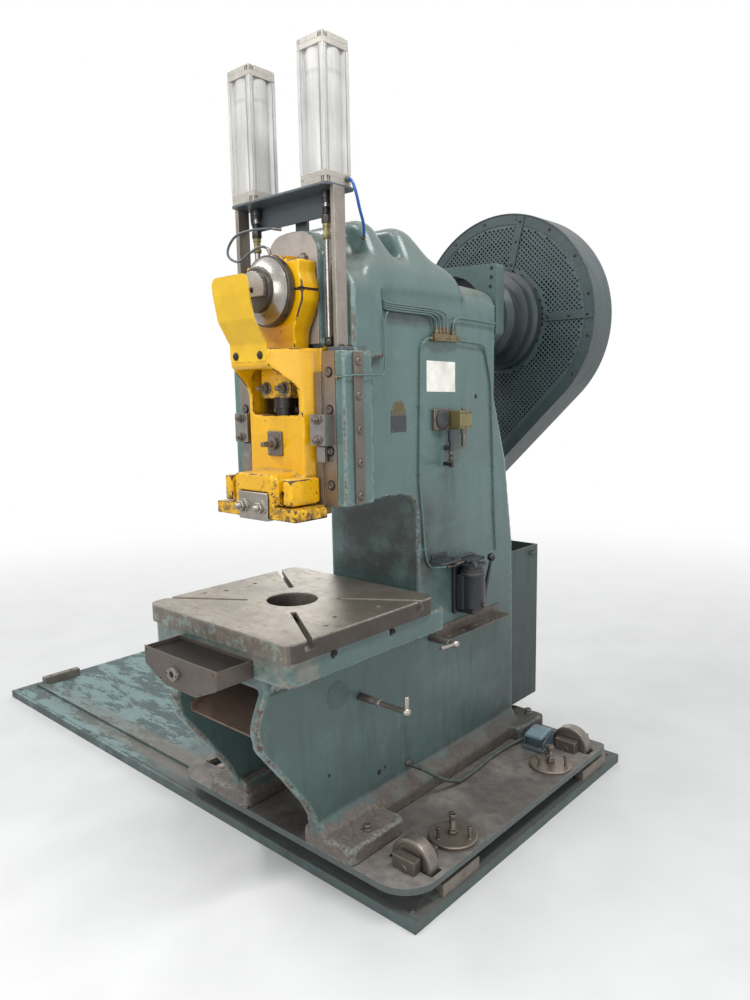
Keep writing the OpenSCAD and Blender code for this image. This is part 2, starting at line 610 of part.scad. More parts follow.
// Connecting rod in two halves, its studs and the ball-ended adjusting screw
rod_front = -38;
rod_rear = 34;
shank_outline = [[-big_end_r, sleeve_z - 0.5, 0], [big_end_r, sleeve_z - 0.5, 0], [132, sleeve_z - 34, 40],
    [84, 1722, 60], [80, 1660, 60], [66, 1622, 0], [72, 1618, 4], [72, 1526, 8], [-72, 1526, 8], [-72, 1618, 4],
    [-66, 1622, 0], [-80, 1660, 60], [-84, 1722, 60], [-132, sleeve_z - 34, 40]];
module conrod() color(yellow) difference() {
    intersection() {
        back(rod_front, rod_rear) polygon(rounded(shank_outline));
        across(-200, 200) polygon([[rod_front, sleeve_z], [rod_rear, sleeve_z], [rod_rear, 1500], [rod_front, 1500],
            [rod_front, 1622], [-28, 1626], [-28, 1700], [rod_front, 1742]]);
    }
    rod_y(sleeve_r + run_gap, rod_front - 1, rod_rear + 1, 0, sleeve_z);
    rod_z(screw_r, 1500, 1612, 0, 0);
    block([-1.5, -40, 1500], [1.5, 0, 1588]);
    block([-73, -40, 1587], [73, -26, 1589]);
    for (x = [-102, 102]) rod_z(9, sleeve_z - 60, sleeve_z, x, 0);
    for (x = [-42, 42]) rod_y(8, -40, 40, x, 1557);
}
cap_outline = [[big_end_r, sleeve_z + 0.5, 0], [132, sleeve_z + 20, 20], [118, sleeve_z + 52, 30], [124, 1938, 8],
    [60, 1938, 8], [56, 1924, 12], [40, sleeve_z + 112, 60], [-40, sleeve_z + 112, 60], [-56, 1924, 12],
    [-60, 1938, 8], [-124, 1938, 8], [-118, sleeve_z + 52, 30], [-132, sleeve_z + 20, 20],
    [-big_end_r, sleeve_z + 0.5, 0]];
module conrod_cap() color(yellow) difference() {
    union() {
        back(rod_front, rod_rear) polygon(rounded(cap_outline));
        rod_z(7, sleeve_z + 90, 1966, -32, -12);
    }
    rod_y(sleeve_r + run_gap, rod_front - 1, rod_rear + 1, 0, sleeve_z);
    for (x = [-102, 102]) rod_z(9, sleeve_z - 5, 1940, x, 0);
}
module conrod_studs() color(dark) {
    both_sides() {
        rod_z(8.9, sleeve_z - 59, 1958, 102, 0);
        translate([102, 0, 1938]) cylinder(r = 16, h = 13, $fn = 6);
    }
    both_sides() {
        rod_y(7.9, -76, 44, 42, 1557);
        rod_y(20, -42, rod_front, 42, 1557);
        hex_y(17, -57, -42, 42, 1557);
        hex_y(15, rod_rear, 44, 42, 1557);
    }
}
module adjusting_screw() color(dark) {
    rod_z(screw_r - 0.05, ball_z, 1610, 0, 0);
    rod_z(36, 1496, 1525.9, 0, 0);
    translate([0, 0, ball_z]) sphere(r = ball_r);
}

// Ram casting with window, ball bore, guide wings and tool flange
plan_outline = [[-88, -143, 10], [88, -143, 10], [126, -ram_front, 0], [ram_front_x, 0, 0],
    [ram_front_x, ram_back - 2, 0], [-ram_front_x, ram_back - 2, 0], [-ram_front_x, 0, 0], [-126, -ram_front, 0]];
nose_side = [[ram_back, ram_bottom + 20, 0], [-ram_front, ram_bottom + 20, 0], [-ram_front, 1552, 60],
    [-112, 1600, 60], [-143, 1626, 12], [-143, ram_top, 8], [ram_back, ram_top, 0]];
window_half = 110;
window_outline = [[-window_half + 8, window_floor, 8], [window_half - 8, window_floor, 8],
    [window_half, window_top - 34, 34], [window_half - 26, window_top, 12], [-window_half + 26, window_top, 12],
    [-window_half, window_top - 34, 34]];
module ram_body() {
    intersection() {
        translate([0, 0, ram_bottom]) linear_extrude(ram_top - ram_bottom) polygon(rounded(plan_outline));
        across(-150, 150) polygon(rounded(nose_side));
    }
    block([-ram_x, 2 + slide_gap, ram_bottom + 60], [ram_x, ram_back, ram_top]);
    both_sides() rod_z(13, ram_top - 20, ram_top + 8, cyl_x - 10, cyl_y);
}
module ram_lower() {
    back(-144, 0) polygon(rounded([[-89, ram_bottom + 10, 0], [89, ram_bottom + 10, 0], [89, 1298, 12], [-89, 1298, 12]]));
    slab(-159, 159, -132, -10, 1206, 1284, 6);
    slab(-190, 190, -144, -10, ram_bottom, ram_bottom + 38, 6);
    slab(-ram_front_x, ram_front_x, -60, ram_back - 2, ram_bottom, 1240, 4);
}
module ram_cavity() {
    back(-150, 41) polygon(rounded(window_outline));
    block([-window_half, -44, window_floor], [window_half, 47, ram_top + 9]);
    back(-ball_r - 1, ball_r + 1) polygon(rounded([[-ball_r - throw - 3, ball_z - ball_r - stroke - 3, 30],
        [ball_r + throw + 3, ball_z - ball_r - stroke - 3, 30], [ball_r + throw + 3, 1480, 0], [-ball_r - throw - 3, 1480, 0]]));
}
module ram() color(yellow) difference() {
    union() {
        ram_body();
        ram_lower();
    }
    ram_cavity();
    block([-69.5, -147, ram_bottom - 1], [69.5, -122, 1243]);
    rod_z(shank_r, ram_bottom - 1, ram_bottom + 90, 0, 0);
    rod_y(spindle_r + run_gap, -50, -ball_r + 4, 0, spindle_z);
    both_sides() block([100, -147, ram_bottom + 48], [122, -100, 1290]);
}
module tool_clamp() color(steel) {
    block([-69, -150, ram_bottom - 6], [69, -122, 1242]);
    both_sides() {
        rod_y(9, -184, -150, 43, 1197);
        hex_y(19, -168, -150, 43, 1197);
    }
}
// Bent sheet cover in front of the eccentric
cover_bends = [[-143, 1636], [-143, 1690], [-183, 1757], [-198, 1830], [-203, 1884], [-206, 1884], [-201, 1830],
    [-186, 1756], [-146, 1689], [-146, 1636]];
module eccentric_cover() color("#fbd31c") {
    intersection() {
        across(-85, 85) polygon(cover_bends);
        back(-240, -100) polygon(rounded([[-85, 1636, 12], [85, 1636, 12], [85, 1884, 24], [-85, 1884, 24]]));
    }
    for (x = [-57, 57]) rod_y(8, -152, -146, x, 1655);
}
spindle_r = 12;
spindle_z = 1385;
module spindle_flange() color(dark) difference() {
    back(-53, -ram_front) polygon(rounded([[-33, 1346, 6], [33, 1346, 6], [33, 1424, 6], [-33, 1424, 6]]));
    rod_y(spindle_r + run_gap, -60, -40, 0, spindle_z);
    for (x = [-25, 25], z = [1354, 1416]) rod_y(4, -56, -50, x, z);
}
module adjusting_spindle() color(dark) {
    rod_y(spindle_r, -78, -ball_r - 1.5, 0, spindle_z);
    rod_y(19, -66, -53.3, 0, spindle_z);
    block([-8, -103, spindle_z - 8], [8, -77, spindle_z + 8]);
}

// Flywheel, belts, motor and the perforated guard
hub_clear = 78;
module flywheel() color(dark) difference() {
    translate([0, wheel_front, axis_z]) rotate([-90, 0, 0]) rotate_extrude()
        polygon([[journal_r + run_gap, -6], [hub_clear + 30, -6], [hub_clear + 36, 22], [wheel_r - 70, 34], [wheel_r - 62, 0],
            [wheel_r, 0], [wheel_r, wheel_w], [wheel_r - 62, wheel_w], [wheel_r - 70, 66], [hub_clear + 36, 72],
            [hub_clear + 30, 32], [journal_r + run_gap, 32]]);
    for (a = [0 : 60 : 300]) rotate_about(a) rod_y(52, wheel_front - 10, wheel_front + 120, 0, axis_z + 220);
    for (k = [0 : 3]) translate([0, wheel_front + 18 + 21 * k, axis_z]) rotate([-90, 0, 0]) difference() {
        cylinder(r = wheel_r + 1, h = 12);
        translate([0, 0, -1]) cylinder(r = wheel_r - 10, h = 14);
    }
}
module rotate_about(a) translate([0, 0, axis_z]) rotate([0, a, 0]) translate([0, 0, -axis_z]) children();
guard_outline_r = 140;
module guard_shape(r, s) hull() {
    translate([0, axis_z]) circle(r = r, $fn = 96);
    translate([motor_x + 20, motor_z]) circle(r = s, $fn = 32);
}
// Straight tangent from the big arc to the small one, worked out by hand of the two circles
function tangent_side(a, ra, b, rb, s) = let (d = b - a, l = norm(d), t = atan2(d[1], d[0]) + s * acos((ra - rb) / l))
    [a + ra * [cos(t), sin(t)], b + rb * [cos(t), sin(t)]];
guard_a = [0, axis_z];
guard_b = [motor_x + 20, motor_z];
module drop_outline(inset) union() {
    translate(guard_a) circle(r = guard_r - inset, $fn = 96);
    translate(guard_b) circle(r = guard_outline_r - inset, $fn = 48);
    polygon(concat(tangent_side(guard_a, guard_r - inset, guard_b, guard_outline_r - inset, 1),
        [for (p = tangent_side(guard_a, guard_r - inset, guard_b, guard_outline_r - inset, -1)) p][1] != undef ?
        let (q = tangent_side(guard_a, guard_r - inset, guard_b, guard_outline_r - inset, -1)) [q[1], q[0]] : []));
}
module flywheel_guard() color("#4d6668") {
    difference() {
        back(guard_y, guard_back) drop_outline(0);
        back(guard_y + sheet_t, guard_back - sheet_t) drop_outline(sheet_t);
        back(guard_y - 1, guard_y + sheet_t + 1) drop_outline(46);
        rod_y(journal_r + 12, guard_back - 10, guard_back + 1, 0, axis_z);
    }
    for (a = [14, 90]) rotate_about(a) block([-16, guard_y - 4, axis_z + guard_hub_r + 2], [16, guard_y - 0.5, axis_z + guard_r - 8]);
}
module guard_mesh() color("#4a5f62") difference() {
    back(guard_y, guard_y + sheet_t) difference() {
        drop_outline(46);
        translate(guard_a) circle(r = guard_hub_r);
        translate([motor_x, motor_z]) circle(r = 40);
    }
    for (i = [-9 : 9], j = [-14 : 9]) {
        p = [(i + j) * mesh_pitch * 0.7, axis_z + (i - j) * mesh_pitch * 0.7];
        if (inside_mesh(p)) translate([p[0], guard_y + 10, p[1]]) rotate([90, 0, 0]) cylinder(r = mesh_hole * 0.707, h = 20, $fn = 4);
    }
}
function inside_mesh(p) = let (a = norm(p - guard_a)) a > guard_hub_r + 26 && a < guard_r - 70;
module bearing_hub() color("#44585b") difference() {
    translate([0, 880, axis_z]) rotate([-90, 0, 0]) rotate_extrude()
        polygon([[journal_r + 20, 0], [150, 0], [150, 180], [172, 200], [172, 224], [160, 232], [160, 250], [196, 262], [196, 290], [184, 296],
            [184, 312], [guard_hub_r - 5, 322], [guard_hub_r - 5, guard_y - 880 - 1], [guard_hub_r - 22, guard_y - 880 - 1], [guard_hub_r - 30, 340],
            [journal_r + 20, 330]]);
    block([-250, 860, axis_z - 300], [250, 934, axis_z + 300]);
}
module rear_bracket() color("#557577") difference() {
    back(881.5, 934) polygon(rounded([[-45, 1715, 0], [160, 1700, 0], [wall_x, 1750, 30], [wall_x, 2010, 14], [-45, 2016, 14]]));
    rod_y(151, 870, 940, 0, axis_z);
    for (p = [[-30, 1994], [-28, 1970], [193, 1993], [192, 1960], [188, 1926]]) rod_y(7, 880, 888, p[0], p[1]);
}
module drive_motor() color("#46585c") {
    rod_y(94, 960, 1190, motor_x, motor_z);
    rod_y(100, 1190, 1206, motor_x, motor_z);
    for (a = [0 : 20 : 340]) translate([motor_x, 975, motor_z]) rotate([0, a, 0]) translate([90, 0, -2]) cube([10, 200, 4]);
    rod_y(15, 1205, wheel_front + 18, motor_x, motor_z);
    block([motor_x - 64, 985, motor_z - 98], [motor_x + 64, 1140, motor_z - 76]);
    block([motor_x - 74, 900, motor_z - 112], [-wall_x, 1160, motor_z - 96]);
    block([-wall_x - 9, 880, motor_z - 112], [-wall_x, 968, motor_z + 40]);
}
module motor_pulley() color(dark) difference() {
    rod_y(pulley_r, wheel_front + 6, wheel_front + 96, motor_x, motor_z);
    rod_y(15 + run_gap, wheel_front, wheel_front + 20, motor_x, motor_z);
    for (k = [0 : 3]) translate([motor_x, wheel_front + 18 + 21 * k, motor_z]) rotate([-90, 0, 0]) difference() {
        cylinder(r = pulley_r + 1, h = 12);
        translate([0, 0, -1]) cylinder(r = pulley_r - 10, h = 14);
    }
}
belt_gap = 0.3;
module belt_ring(ra, rb) union() {
    translate(guard_a) circle(r = ra, $fn = 96);
    translate([motor_x, motor_z]) circle(r = rb, $fn = 48);
    let (m = [motor_x, motor_z], p = tangent_side(guard_a, ra, m, rb, 1), q = tangent_side(guard_a, ra, m, rb, -1))
        polygon([p[0], p[1], q[1], q[0]]);
}
module drive_belts() color("#222222") for (k = [0 : 3]) back(wheel_front + 18.4 + 21 * k, wheel_front + 29.6 + 21 * k)
    difference() {
        belt_ring(wheel_r + 3, pulley_r + 3);
        belt_ring(wheel_r - 10 + belt_gap, pulley_r - 10 + belt_gap);
    }

// Oil distributor and the pipes on the right wall
pipe_x = wall_x + pipe_r + 2;
module oil_distributor() color(brass) {
    block([wall_x, 470, 1708], [wall_x + 26, 612, 1732]);
    for (y = [492, 512, 532, 552, 588]) rod_z(7, 1732, 1746, wall_x + 13, y);
    block([wall_x, 600, 1732], [wall_x + 12, 608, 1775]);
}
function up_pipe(k) = [[wall_x + 13, 492 + 20 * k, 1746], [wall_x + 13, 492 + 20 * k, 1775 + 9 * k],
    [wall_x + 13, 466 + 10 * k, 1793 + 7 * k], [wall_x + 13, 240, 1797 + 7 * k], [wall_x + 13, 215, 1803 + 7 * k]];
module oil_pipes() color("#6f8d88") {
    for (k = [0 : 3]) swept(up_pipe(k), pipe_r - 1, [1, 0, 0]);
    swept([[wall_x + 13, 588, 1746], [wall_x + 13, 588, 1776], [wall_x + 13, 612, 1794], [wall_x + 13, 700, 1791], [wall_x + 13, 862, 1784]], pipe_r, [1, 0, 0]);
    swept([[wall_x + 13, 470, 1716], [wall_x + 13, 440, 1716], [pipe_x, 414, 1690], [pipe_x, 401, 1235], [pipe_x, 421, 1078], [pipe_x, 431, 970],
        [pipe_x, 455, 918], [pipe_x + 30, 520, 914]], pipe_r, [1, 0, 0]);
    swept([[wall_x + 13, 612, 1716], [wall_x + 13, 770, 1706], [pipe_x, 800, 1690], [pipe_x, 840, 1561], [pipe_x, 859, 1239], [pipe_x, 867, 1057], [pipe_x, 880, 930],
        [pipe_x, 880, 912]], pipe_r, [1, 0, 0]);
    swept([[wall_x + 29, 222, 1788], [wall_x + 29, 207, 1770], [wall_x + 29, 204, 1612], [wall_x + 42, 184, 1592], [guide_x + 12, 120, 1592],
        [guide_x + 12, 30, 1592], [guide_x + 8, -6, 1588], [234, -6, 1586]], pipe_r - 1, [1, 0, 0]);
}
// Air unit: square plate with round cover, brass box and the fittings under it
module air_unit() color(brass) {
    block([wall_x, 478, 1402], [wall_x + 14, 566, 1478]);
    rod_x(34, wall_x + 14, wall_x + 22, 522, 1440);
    block([wall_x, 572, 1404], [wall_x + 56, 650, 1470]);
    rod_z(8, 1470, 1480, wall_x + 28, 630);
    rod_z(9, 1340, 1404, wall_x + 28, 630);
    swept([[wall_x + 28, 630, 1345], [wall_x + 28, 624, 1337], [wall_x + 28, 600, 1335], [wall_x + 28, 556, 1335]], 4, [1, 0, 0]);
    rod_z(9, 1270, 1404, wall_x + 28, 556);
    rod_z(13, 1360, 1400, wall_x + 28, 556);
    block([wall_x, 548, 1330], [wall_x + 28, 564, 1346]);
    rod_y(7, 528, 556, wall_x + 28, 1286);
}
module valve_handle() color(dark) {
    rod_y(5, 520, 527.7, wall_x + 28, 1286);
    block([wall_x + 24, 512, 1280], [wall_x + 62, 520, 1292]);
}
// Hand oil pump with its lever
pump_x = wall_x + 62;
pump_y = 640;
lever_pivot = [wall_x + 62, 706, 760];
module oil_pump() color("#2e3235") {
    block([wall_x, 590, 720], [wall_x + 16, 730, 930]);
    rod_z(46, 745, 890, pump_x, pump_y);
    rod_z(40, 890, 905, pump_x, pump_y);
    rod_z(26, 905, 925, pump_x, pump_y);
    block([wall_x + 10, 610, 725], [wall_x + 84, 690, 745]);
    block([wall_x + 10, 560, 905], [wall_x + 40, 720, 922]);
    rod_x(7, wall_x + 16, lever_pivot[0] + 12, lever_pivot[1], lever_pivot[2]);
    slab(wall_x, wall_x + 70, 452, 566, 936, 944, 4);
    block([wall_x, 470, 944], [wall_x + 6, 560, 962]);
}
module pump_lever() color("#3a3d40") difference() {
    union() {
        rod_x(15, lever_pivot[0] - 6, lever_pivot[0] + 8, lever_pivot[1], lever_pivot[2]);
        strut(lever_pivot + [1, 0, 0], lever_pivot + [14, 34, 150], 7);
        translate(lever_pivot + [14, 34, 158]) sphere(r = 16);
    }
    rod_x(7 + run_gap, lever_pivot[0] - 20, lever_pivot[0] + 20, lever_pivot[1], lever_pivot[2]);
}
module tool_shelf() color("#4c5658") difference() {
    union() {
        block([wall_x, 484, 652], [wall_x + 60, 905, 656]);
        block([wall_x, 484, 656], [wall_x + 4, 905, 690]);
    }
    for (y = [530, 620, 700, 780, 850]) rod_z(9, 650, 658, wall_x + 38, y);
}
// Crank handles on the right wall: spindle, boss and grip
module crank_handle(p, reach, grip) color(steel) {
    rod_x(crank_r, p[0] - 29, p[0] + reach, p[1], p[2]);
    rod_x(13, p[0] + 1, p[0] + 60, p[1], p[2]);
    translate(p + [reach, 0, 0]) sphere(r = 14, $fn = 32);
    strut(p + [reach, 0, 0], p + [reach, 0, 0] + grip, knob_r);
}
module crank_handle_front() crank_handle(crank_front, 196, [0, 0, 52]);
module crank_handle_rear() crank_handle(crank_rear, 112, [0, -84, 6]);

// Oil cabinet behind the column
module rear_cabinet() color(teal) {
    difference() {
        block([-200, 1021.5, 208], [200, 1238, 876]);
        block([-194, 1028, 214], [194, 1232, 824]);
        block([-194, 1028, 830], [194, 1232, 877]);
    }
    rod_y(6, 1170, 1216, 208, 846);
    for (y = [1170, 1216]) rod_x(5, 198, 208, y, 846);
}

// Foot switch with its pedal, cable and gland
gland_at = [wall_x, 323, 238];
module cable_gland() color(dark) {
    rod_x(cable_r + 6, wall_x, wall_x + 12, gland_at[1], gland_at[2]);
    rod_x(cable_r + 3, wall_x + 12, wall_x + 22, gland_at[1], gland_at[2]);
}
cable_z = car_top + cable_r + 0.5;
cable_route = [[238.4, 323, 238], [256, 323.6, 236.5], [280, 344, 222], [298, 376, 196], [308, 420, 164], [312, 470, 140],
    [312, 502, 127.5], [311.5, 530, cable_z + 0.8], [309, 590, cable_z], [304, 650, cable_z], [298, 710, cable_z], [296, 765, cable_z],
    [296, 830, cable_z], [302, 890, cable_z + 1.2], [316, 926, 134], [330, 939.4, 143], [340.5, 940, 144]];
module pedal_cable() color("#3c4a4a") swept(smooth(cable_route, 3), cable_r);
module foot_switch() color("#50666e") difference() {
    union() {
        slab(340, 434, 892, 990, car_top, car_top + 16, 8);
        slab(344, 430, 918, 986, car_top + 15, car_top + 44, 6);
        both_sides_at(387, 44) block([0, 900, car_top + 15], [5, 986, car_top + 70]);
    }
    rod_x(4 + run_gap, 330, 450, 972, car_top + 56);
}
module both_sides_at(c, w) { translate([c - w, 0, 0]) children(); translate([c + w - 5, 0, 0]) children(); }
module foot_pedal() color("#6f93a3") {
    rod_x(4, 341, 433, 972, car_top + 56);
    across(350, 424) polygon(rounded([[894, car_top + 58, 4], [900, car_top + 66, 6], [978, car_top + 78, 12], [984, car_top + 52, 6],
        [964, car_top + 50, 4], [908, car_top + 52, 4]]));
}

floor_plate();
carriage_plate();
axle_blocks();
roller_front_right();
roller_front_left();
roller_rear_right();
roller_rear_left();
levelling_discs();
levelling_screws();
frame();
foot_bolts();
bolster();
scrap_chute();
front_box();
gib_bars();
side_strips();
guide_screws();
stop_blocks();
front_cover();
main_bushes();
cylinder_frame();
cylinder_tubes();
cylinder_caps();
air_hose();
lube_hose();
crankshaft();
eccentric_sleeve();
lock_ring();
conrod();
conrod_cap();
conrod_studs();
adjusting_screw();
ram();
tool_clamp();
eccentric_cover();
spindle_flange();
adjusting_spindle();
balance_rods();
flywheel();
flywheel_guard();
guard_mesh();
bearing_hub();
rear_bracket();
drive_motor();
motor_pulley();
drive_belts();
oil_distributor();
oil_pipes();
air_unit();
valve_handle();
oil_pump();
pump_lever();
tool_shelf();
crank_handle_front();
crank_handle_rear();
rear_cabinet();
cable_gland();
pedal_cable();
foot_switch();
foot_pedal();
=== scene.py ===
"""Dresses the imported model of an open-front stamping press on its rolling carriage."""

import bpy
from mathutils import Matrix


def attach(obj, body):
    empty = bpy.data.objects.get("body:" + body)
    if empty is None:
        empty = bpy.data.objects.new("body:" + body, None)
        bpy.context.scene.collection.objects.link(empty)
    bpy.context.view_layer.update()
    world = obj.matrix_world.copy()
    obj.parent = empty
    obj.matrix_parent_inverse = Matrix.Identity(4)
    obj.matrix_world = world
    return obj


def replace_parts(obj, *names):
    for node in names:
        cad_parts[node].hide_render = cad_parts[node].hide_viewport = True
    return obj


bl_info = {
    "name": "Stamping press looks",
    "version": (1, 0, 0),
    "blender": (4, 5, 0),
    "location": "View3D > Sidebar > Press",
    "description": "Builds the detailed pieces and materials of a stamping press over its packed frame",
    "category": "Object",
}

from math import acos, atan2, cos, pi, radians, sin, sqrt, tan

import bmesh
import bpy
import numpy as np
from bpy.props import FloatProperty, FloatVectorProperty, PointerProperty
from bpy.types import NodeSocket, Operator, Panel, PropertyGroup
from mathutils import Matrix, Vector

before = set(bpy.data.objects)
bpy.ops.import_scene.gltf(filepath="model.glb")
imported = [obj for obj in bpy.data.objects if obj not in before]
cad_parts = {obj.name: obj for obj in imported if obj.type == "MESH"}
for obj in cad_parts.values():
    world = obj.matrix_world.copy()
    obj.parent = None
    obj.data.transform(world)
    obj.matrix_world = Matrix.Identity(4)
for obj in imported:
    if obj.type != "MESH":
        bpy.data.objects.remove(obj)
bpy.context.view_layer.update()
WALL = 0.215  # right face of the frame
ON_WALL = 0.2152  # foot of what is screwed to that face
PLATE_TOP = 0.116  # top of the carriage plate
AXIS = 1.83  # height of the flywheel's axis
SLEEVE = 1.85  # height of the eccentric's middle at rest
UP, FRONT, BACK, RIGHT = (0, 0, 1), (0, -1, 0), (0, 1, 0), (1, 0, 0)


# Settings


class PressPaint(PropertyGroup):
    """Colours of the machine's paints."""

    teal: FloatVectorProperty(
        name="Teal", description="Enamel on the castings", subtype="COLOR", size=3, default=(0.09, 0.152, 0.144)
    )
    yellow: FloatVectorProperty(
        name="Yellow", description="Enamel on the moving parts", subtype="COLOR", size=3, default=(0.74, 0.4, 0.0015)
    )
    guard: FloatVectorProperty(
        name="Guard", description="Paint on the flywheel guard", subtype="COLOR", size=3, default=(0.058, 0.088, 0.092)
    )
    wear: FloatProperty(
        name="Wear", description="How much paint is chipped from the edges", default=1.0, min=0.0, max=2.0
    )
    grime: FloatProperty(
        name="Grime", description="How much oil and dust lies on the paint", default=1.0, min=0.0, max=2.0
    )


class PressShape(PropertyGroup):
    """Sizes of the pieces made here."""

    cable: FloatProperty(
        name="Cable", description="Diameter of the foot switch cable", default=0.014, min=0.004, unit="LENGTH"
    )
    mesh_pitch: FloatProperty(
        name="Mesh pitch", description="Distance between the guard's holes", default=0.015, min=0.008, unit="LENGTH"
    )
    mesh_open: FloatProperty(
        name="Mesh opening", description="Side of a hole as a share of the pitch", default=0.6, min=0.3, max=0.8
    )
    cast_voxel: FloatProperty(
        name="Casting voxel", description="Voxel of the frame casting", default=0.0075, min=0.004, unit="LENGTH"
    )


# Geometry helpers


def held(x):
    """Values held between 0 and 1."""
    return np.clip(x, 0, 1)


def placed(name, data):
    """New object of some data, linked to the scene."""
    obj = bpy.data.objects.new(name, data)
    bpy.context.scene.collection.objects.link(obj)
    return obj


def made(name, points, faces, look, body="carriage", smooth=True, sharp=40.0):
    """New object of points (n, 3) and faces in one of the looks, riding on body; edges over the angle sharp stay
    sharp."""
    mesh = bpy.data.meshes.new(name)
    mesh.from_pydata(np.asarray(points, float).tolist(), [], [list(map(int, f)) for f in faces])
    mesh.validate()
    obj = placed(name, mesh)
    finish_mesh(obj, look, smooth, sharp)
    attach(obj, body)
    return obj


def rework(mesh, weld=None):
    """Turns a mesh's faces outward, or merges its points that are nearer than weld."""
    bm = bmesh.new()
    bm.from_mesh(mesh)
    if weld is None:
        bmesh.ops.recalc_face_normals(bm, faces=bm.faces)
    else:
        bmesh.ops.remove_doubles(bm, verts=bm.verts, dist=weld)
    bm.to_mesh(mesh)
    bm.free()


def finish_mesh(obj, look, smooth=True, sharp=40.0):
    """Faces outward, smooth shading with sharp edges over an angle, and the material of a look."""
    mesh, material = obj.data, material_of(look)
    rework(mesh)
    if smooth:
        mesh.shade_smooth()
        mesh.set_sharp_from_angle(angle=radians(sharp))
    mesh.materials.clear()
    mesh.materials.append(material)


class Parts:
    """Points and faces of several shapes, gathered for one mesh."""

    def __init__(self):
        self.points, self.faces, self.count = [], [], 0

    def add(self, points, faces):
        points = np.asarray(points, float)
        self.points.append(points)
        self.faces += [[i + self.count for i in f] for f in faces]
        self.count += len(points)
        return self

    def each(self, shape, *rows):
        """Adds one shape for each row of its arguments."""
        for row in rows:
            self.add(*shape(*row))
        return self

    def make(self, name, look, body="carriage", **more):
        return made(name, np.concatenate(self.points), self.faces, look, body, **more)


def several(n):
    """That many empty gatherings of parts."""
    return [Parts() for _ in range(n)]


def basis(axis):
    """Two unit vectors square to a direction, and the direction."""
    w = np.asarray(axis, float) / np.linalg.norm(axis)
    side = np.array([0, 0, 1.0]) if abs(w[2]) < 0.9 else np.array([1.0, 0, 0])
    u = np.cross(side, w)
    u /= np.linalg.norm(u)
    return u, np.cross(w, u), w


def grid_faces(rows, cols, around=True):
    """Quads of a grid of rows by cols points; around closes each row."""
    i, j = np.meshgrid(np.arange(rows - 1), np.arange(cols if around else cols - 1), indexing="ij")
    a, b = i * cols + j, i * cols + (j + 1) % cols
    return np.stack([a, b, b + cols, a + cols], -1).reshape(-1, 4).tolist()


def closed_tube(points):
    """Points and faces of a grid (rows, n, 3) closed round each row and capped at both ends."""
    rows, n = points.shape[:2]
    caps = [list(range(n))[::-1], list(range((rows - 1) * n, rows * n))]
    return points.reshape(-1, 3), grid_faces(rows, n) + caps


def sheet_faces(rows, cols):
    """Faces of a thin closed sheet: a grid, the same grid turned over after it, and a strip round their rims."""
    top, n = grid_faces(rows, cols, False), rows * cols
    k = np.arange(n).reshape(rows, cols)
    rim = np.concatenate([k[0], k[1:, -1], k[-1, -2::-1], k[-2:0:-1, 0]])
    after = np.roll(rim, -1)
    return top + [[i + n for i in f[::-1]] for f in top] + np.stack([rim, after, after + n, rim + n], -1).tolist()


def spun(profile, centre, axis, n=48, turn=0.0):
    """Solid of revolution: profile is rows of (radius, height) along axis, closed by fans at both ends."""
    u, v, w = basis(axis)
    prof = np.asarray(profile, float)
    t = np.arange(n) * 2 * pi / n + turn
    ring = np.cos(t)[:, None] * u + np.sin(t)[:, None] * v
    return closed_tube(np.asarray(centre) + prof[:, 0, None, None] * ring + prof[:, 1, None, None] * w)


def lathe(profile, centre, axis, n=48):
    """Solid of revolution whose profile (radius, height) is given in millimetres."""
    return spun(np.asarray(profile, float) / 1000, centre, axis, n)


def hexagon(r, h0, h1, centre, axis, chamfer=0.12):
    """Hexagon head or nut from height h0 to h1 along axis, its corners cut back by a chamfer."""
    c = r * chamfer
    return spun([(r - c * 0.4, h0), (r, h0 + c), (r, h1 - c), (r - c, h1)], centre, axis, 6)


def socket_head(r, h, centre, axis):
    """Cap screw head with a knurled wall, a chamfered rim and a hexagon socket."""
    return spun([(r, 0), (r, h * 0.82), (r * 0.93, h), (r * 0.6, h), (r * 0.55, h * 0.93), (r * 0.52, h * 0.3)],
        centre, axis, 18)


def sweep(path, radius, n=12, up=None):
    """Round tube along a path with parallel rings, closed at both ends; radius may be one number a point."""
    p = np.asarray(path, float)
    r = np.broadcast_to(np.asarray(radius, float), (len(p),))
    t = np.gradient(p, axis=0)
    t /= np.linalg.norm(t, axis=1)[:, None]
    u = basis(t[0])[0] if up is None else np.asarray(up, float)
    side = []
    for k in range(len(p)):
        u = u - t[k] * (u @ t[k])
        u /= np.linalg.norm(u)
        side.append(u)
    side = np.array(side)
    other = np.cross(t, side)
    a = np.arange(n) * 2 * pi / n
    ring = np.cos(a)[:, None] * side[:, None] + np.sin(a)[:, None] * other[:, None]
    return closed_tube(p[:, None] + r[:, None, None] * ring)


def curve_through(points, steps):
    """Catmull-Rom curve through points, steps to each span."""
    p = np.asarray(points, float)
    q = np.vstack([2 * p[0] - p[1], p, 2 * p[-1] - p[-2]])
    t = (np.arange(steps) / steps)[None, :, None]
    a, b, c, d = (q[k : len(q) - 3 + k][:, None] for k in range(4))
    s = 0.5 * (2 * b + (c - a) * t + (2 * a - 5 * b + 4 * c - d) * t**2 + (3 * b - a - 3 * c + d) * t**3)
    return np.vstack([s.reshape(-1, 3), p[-1:]])


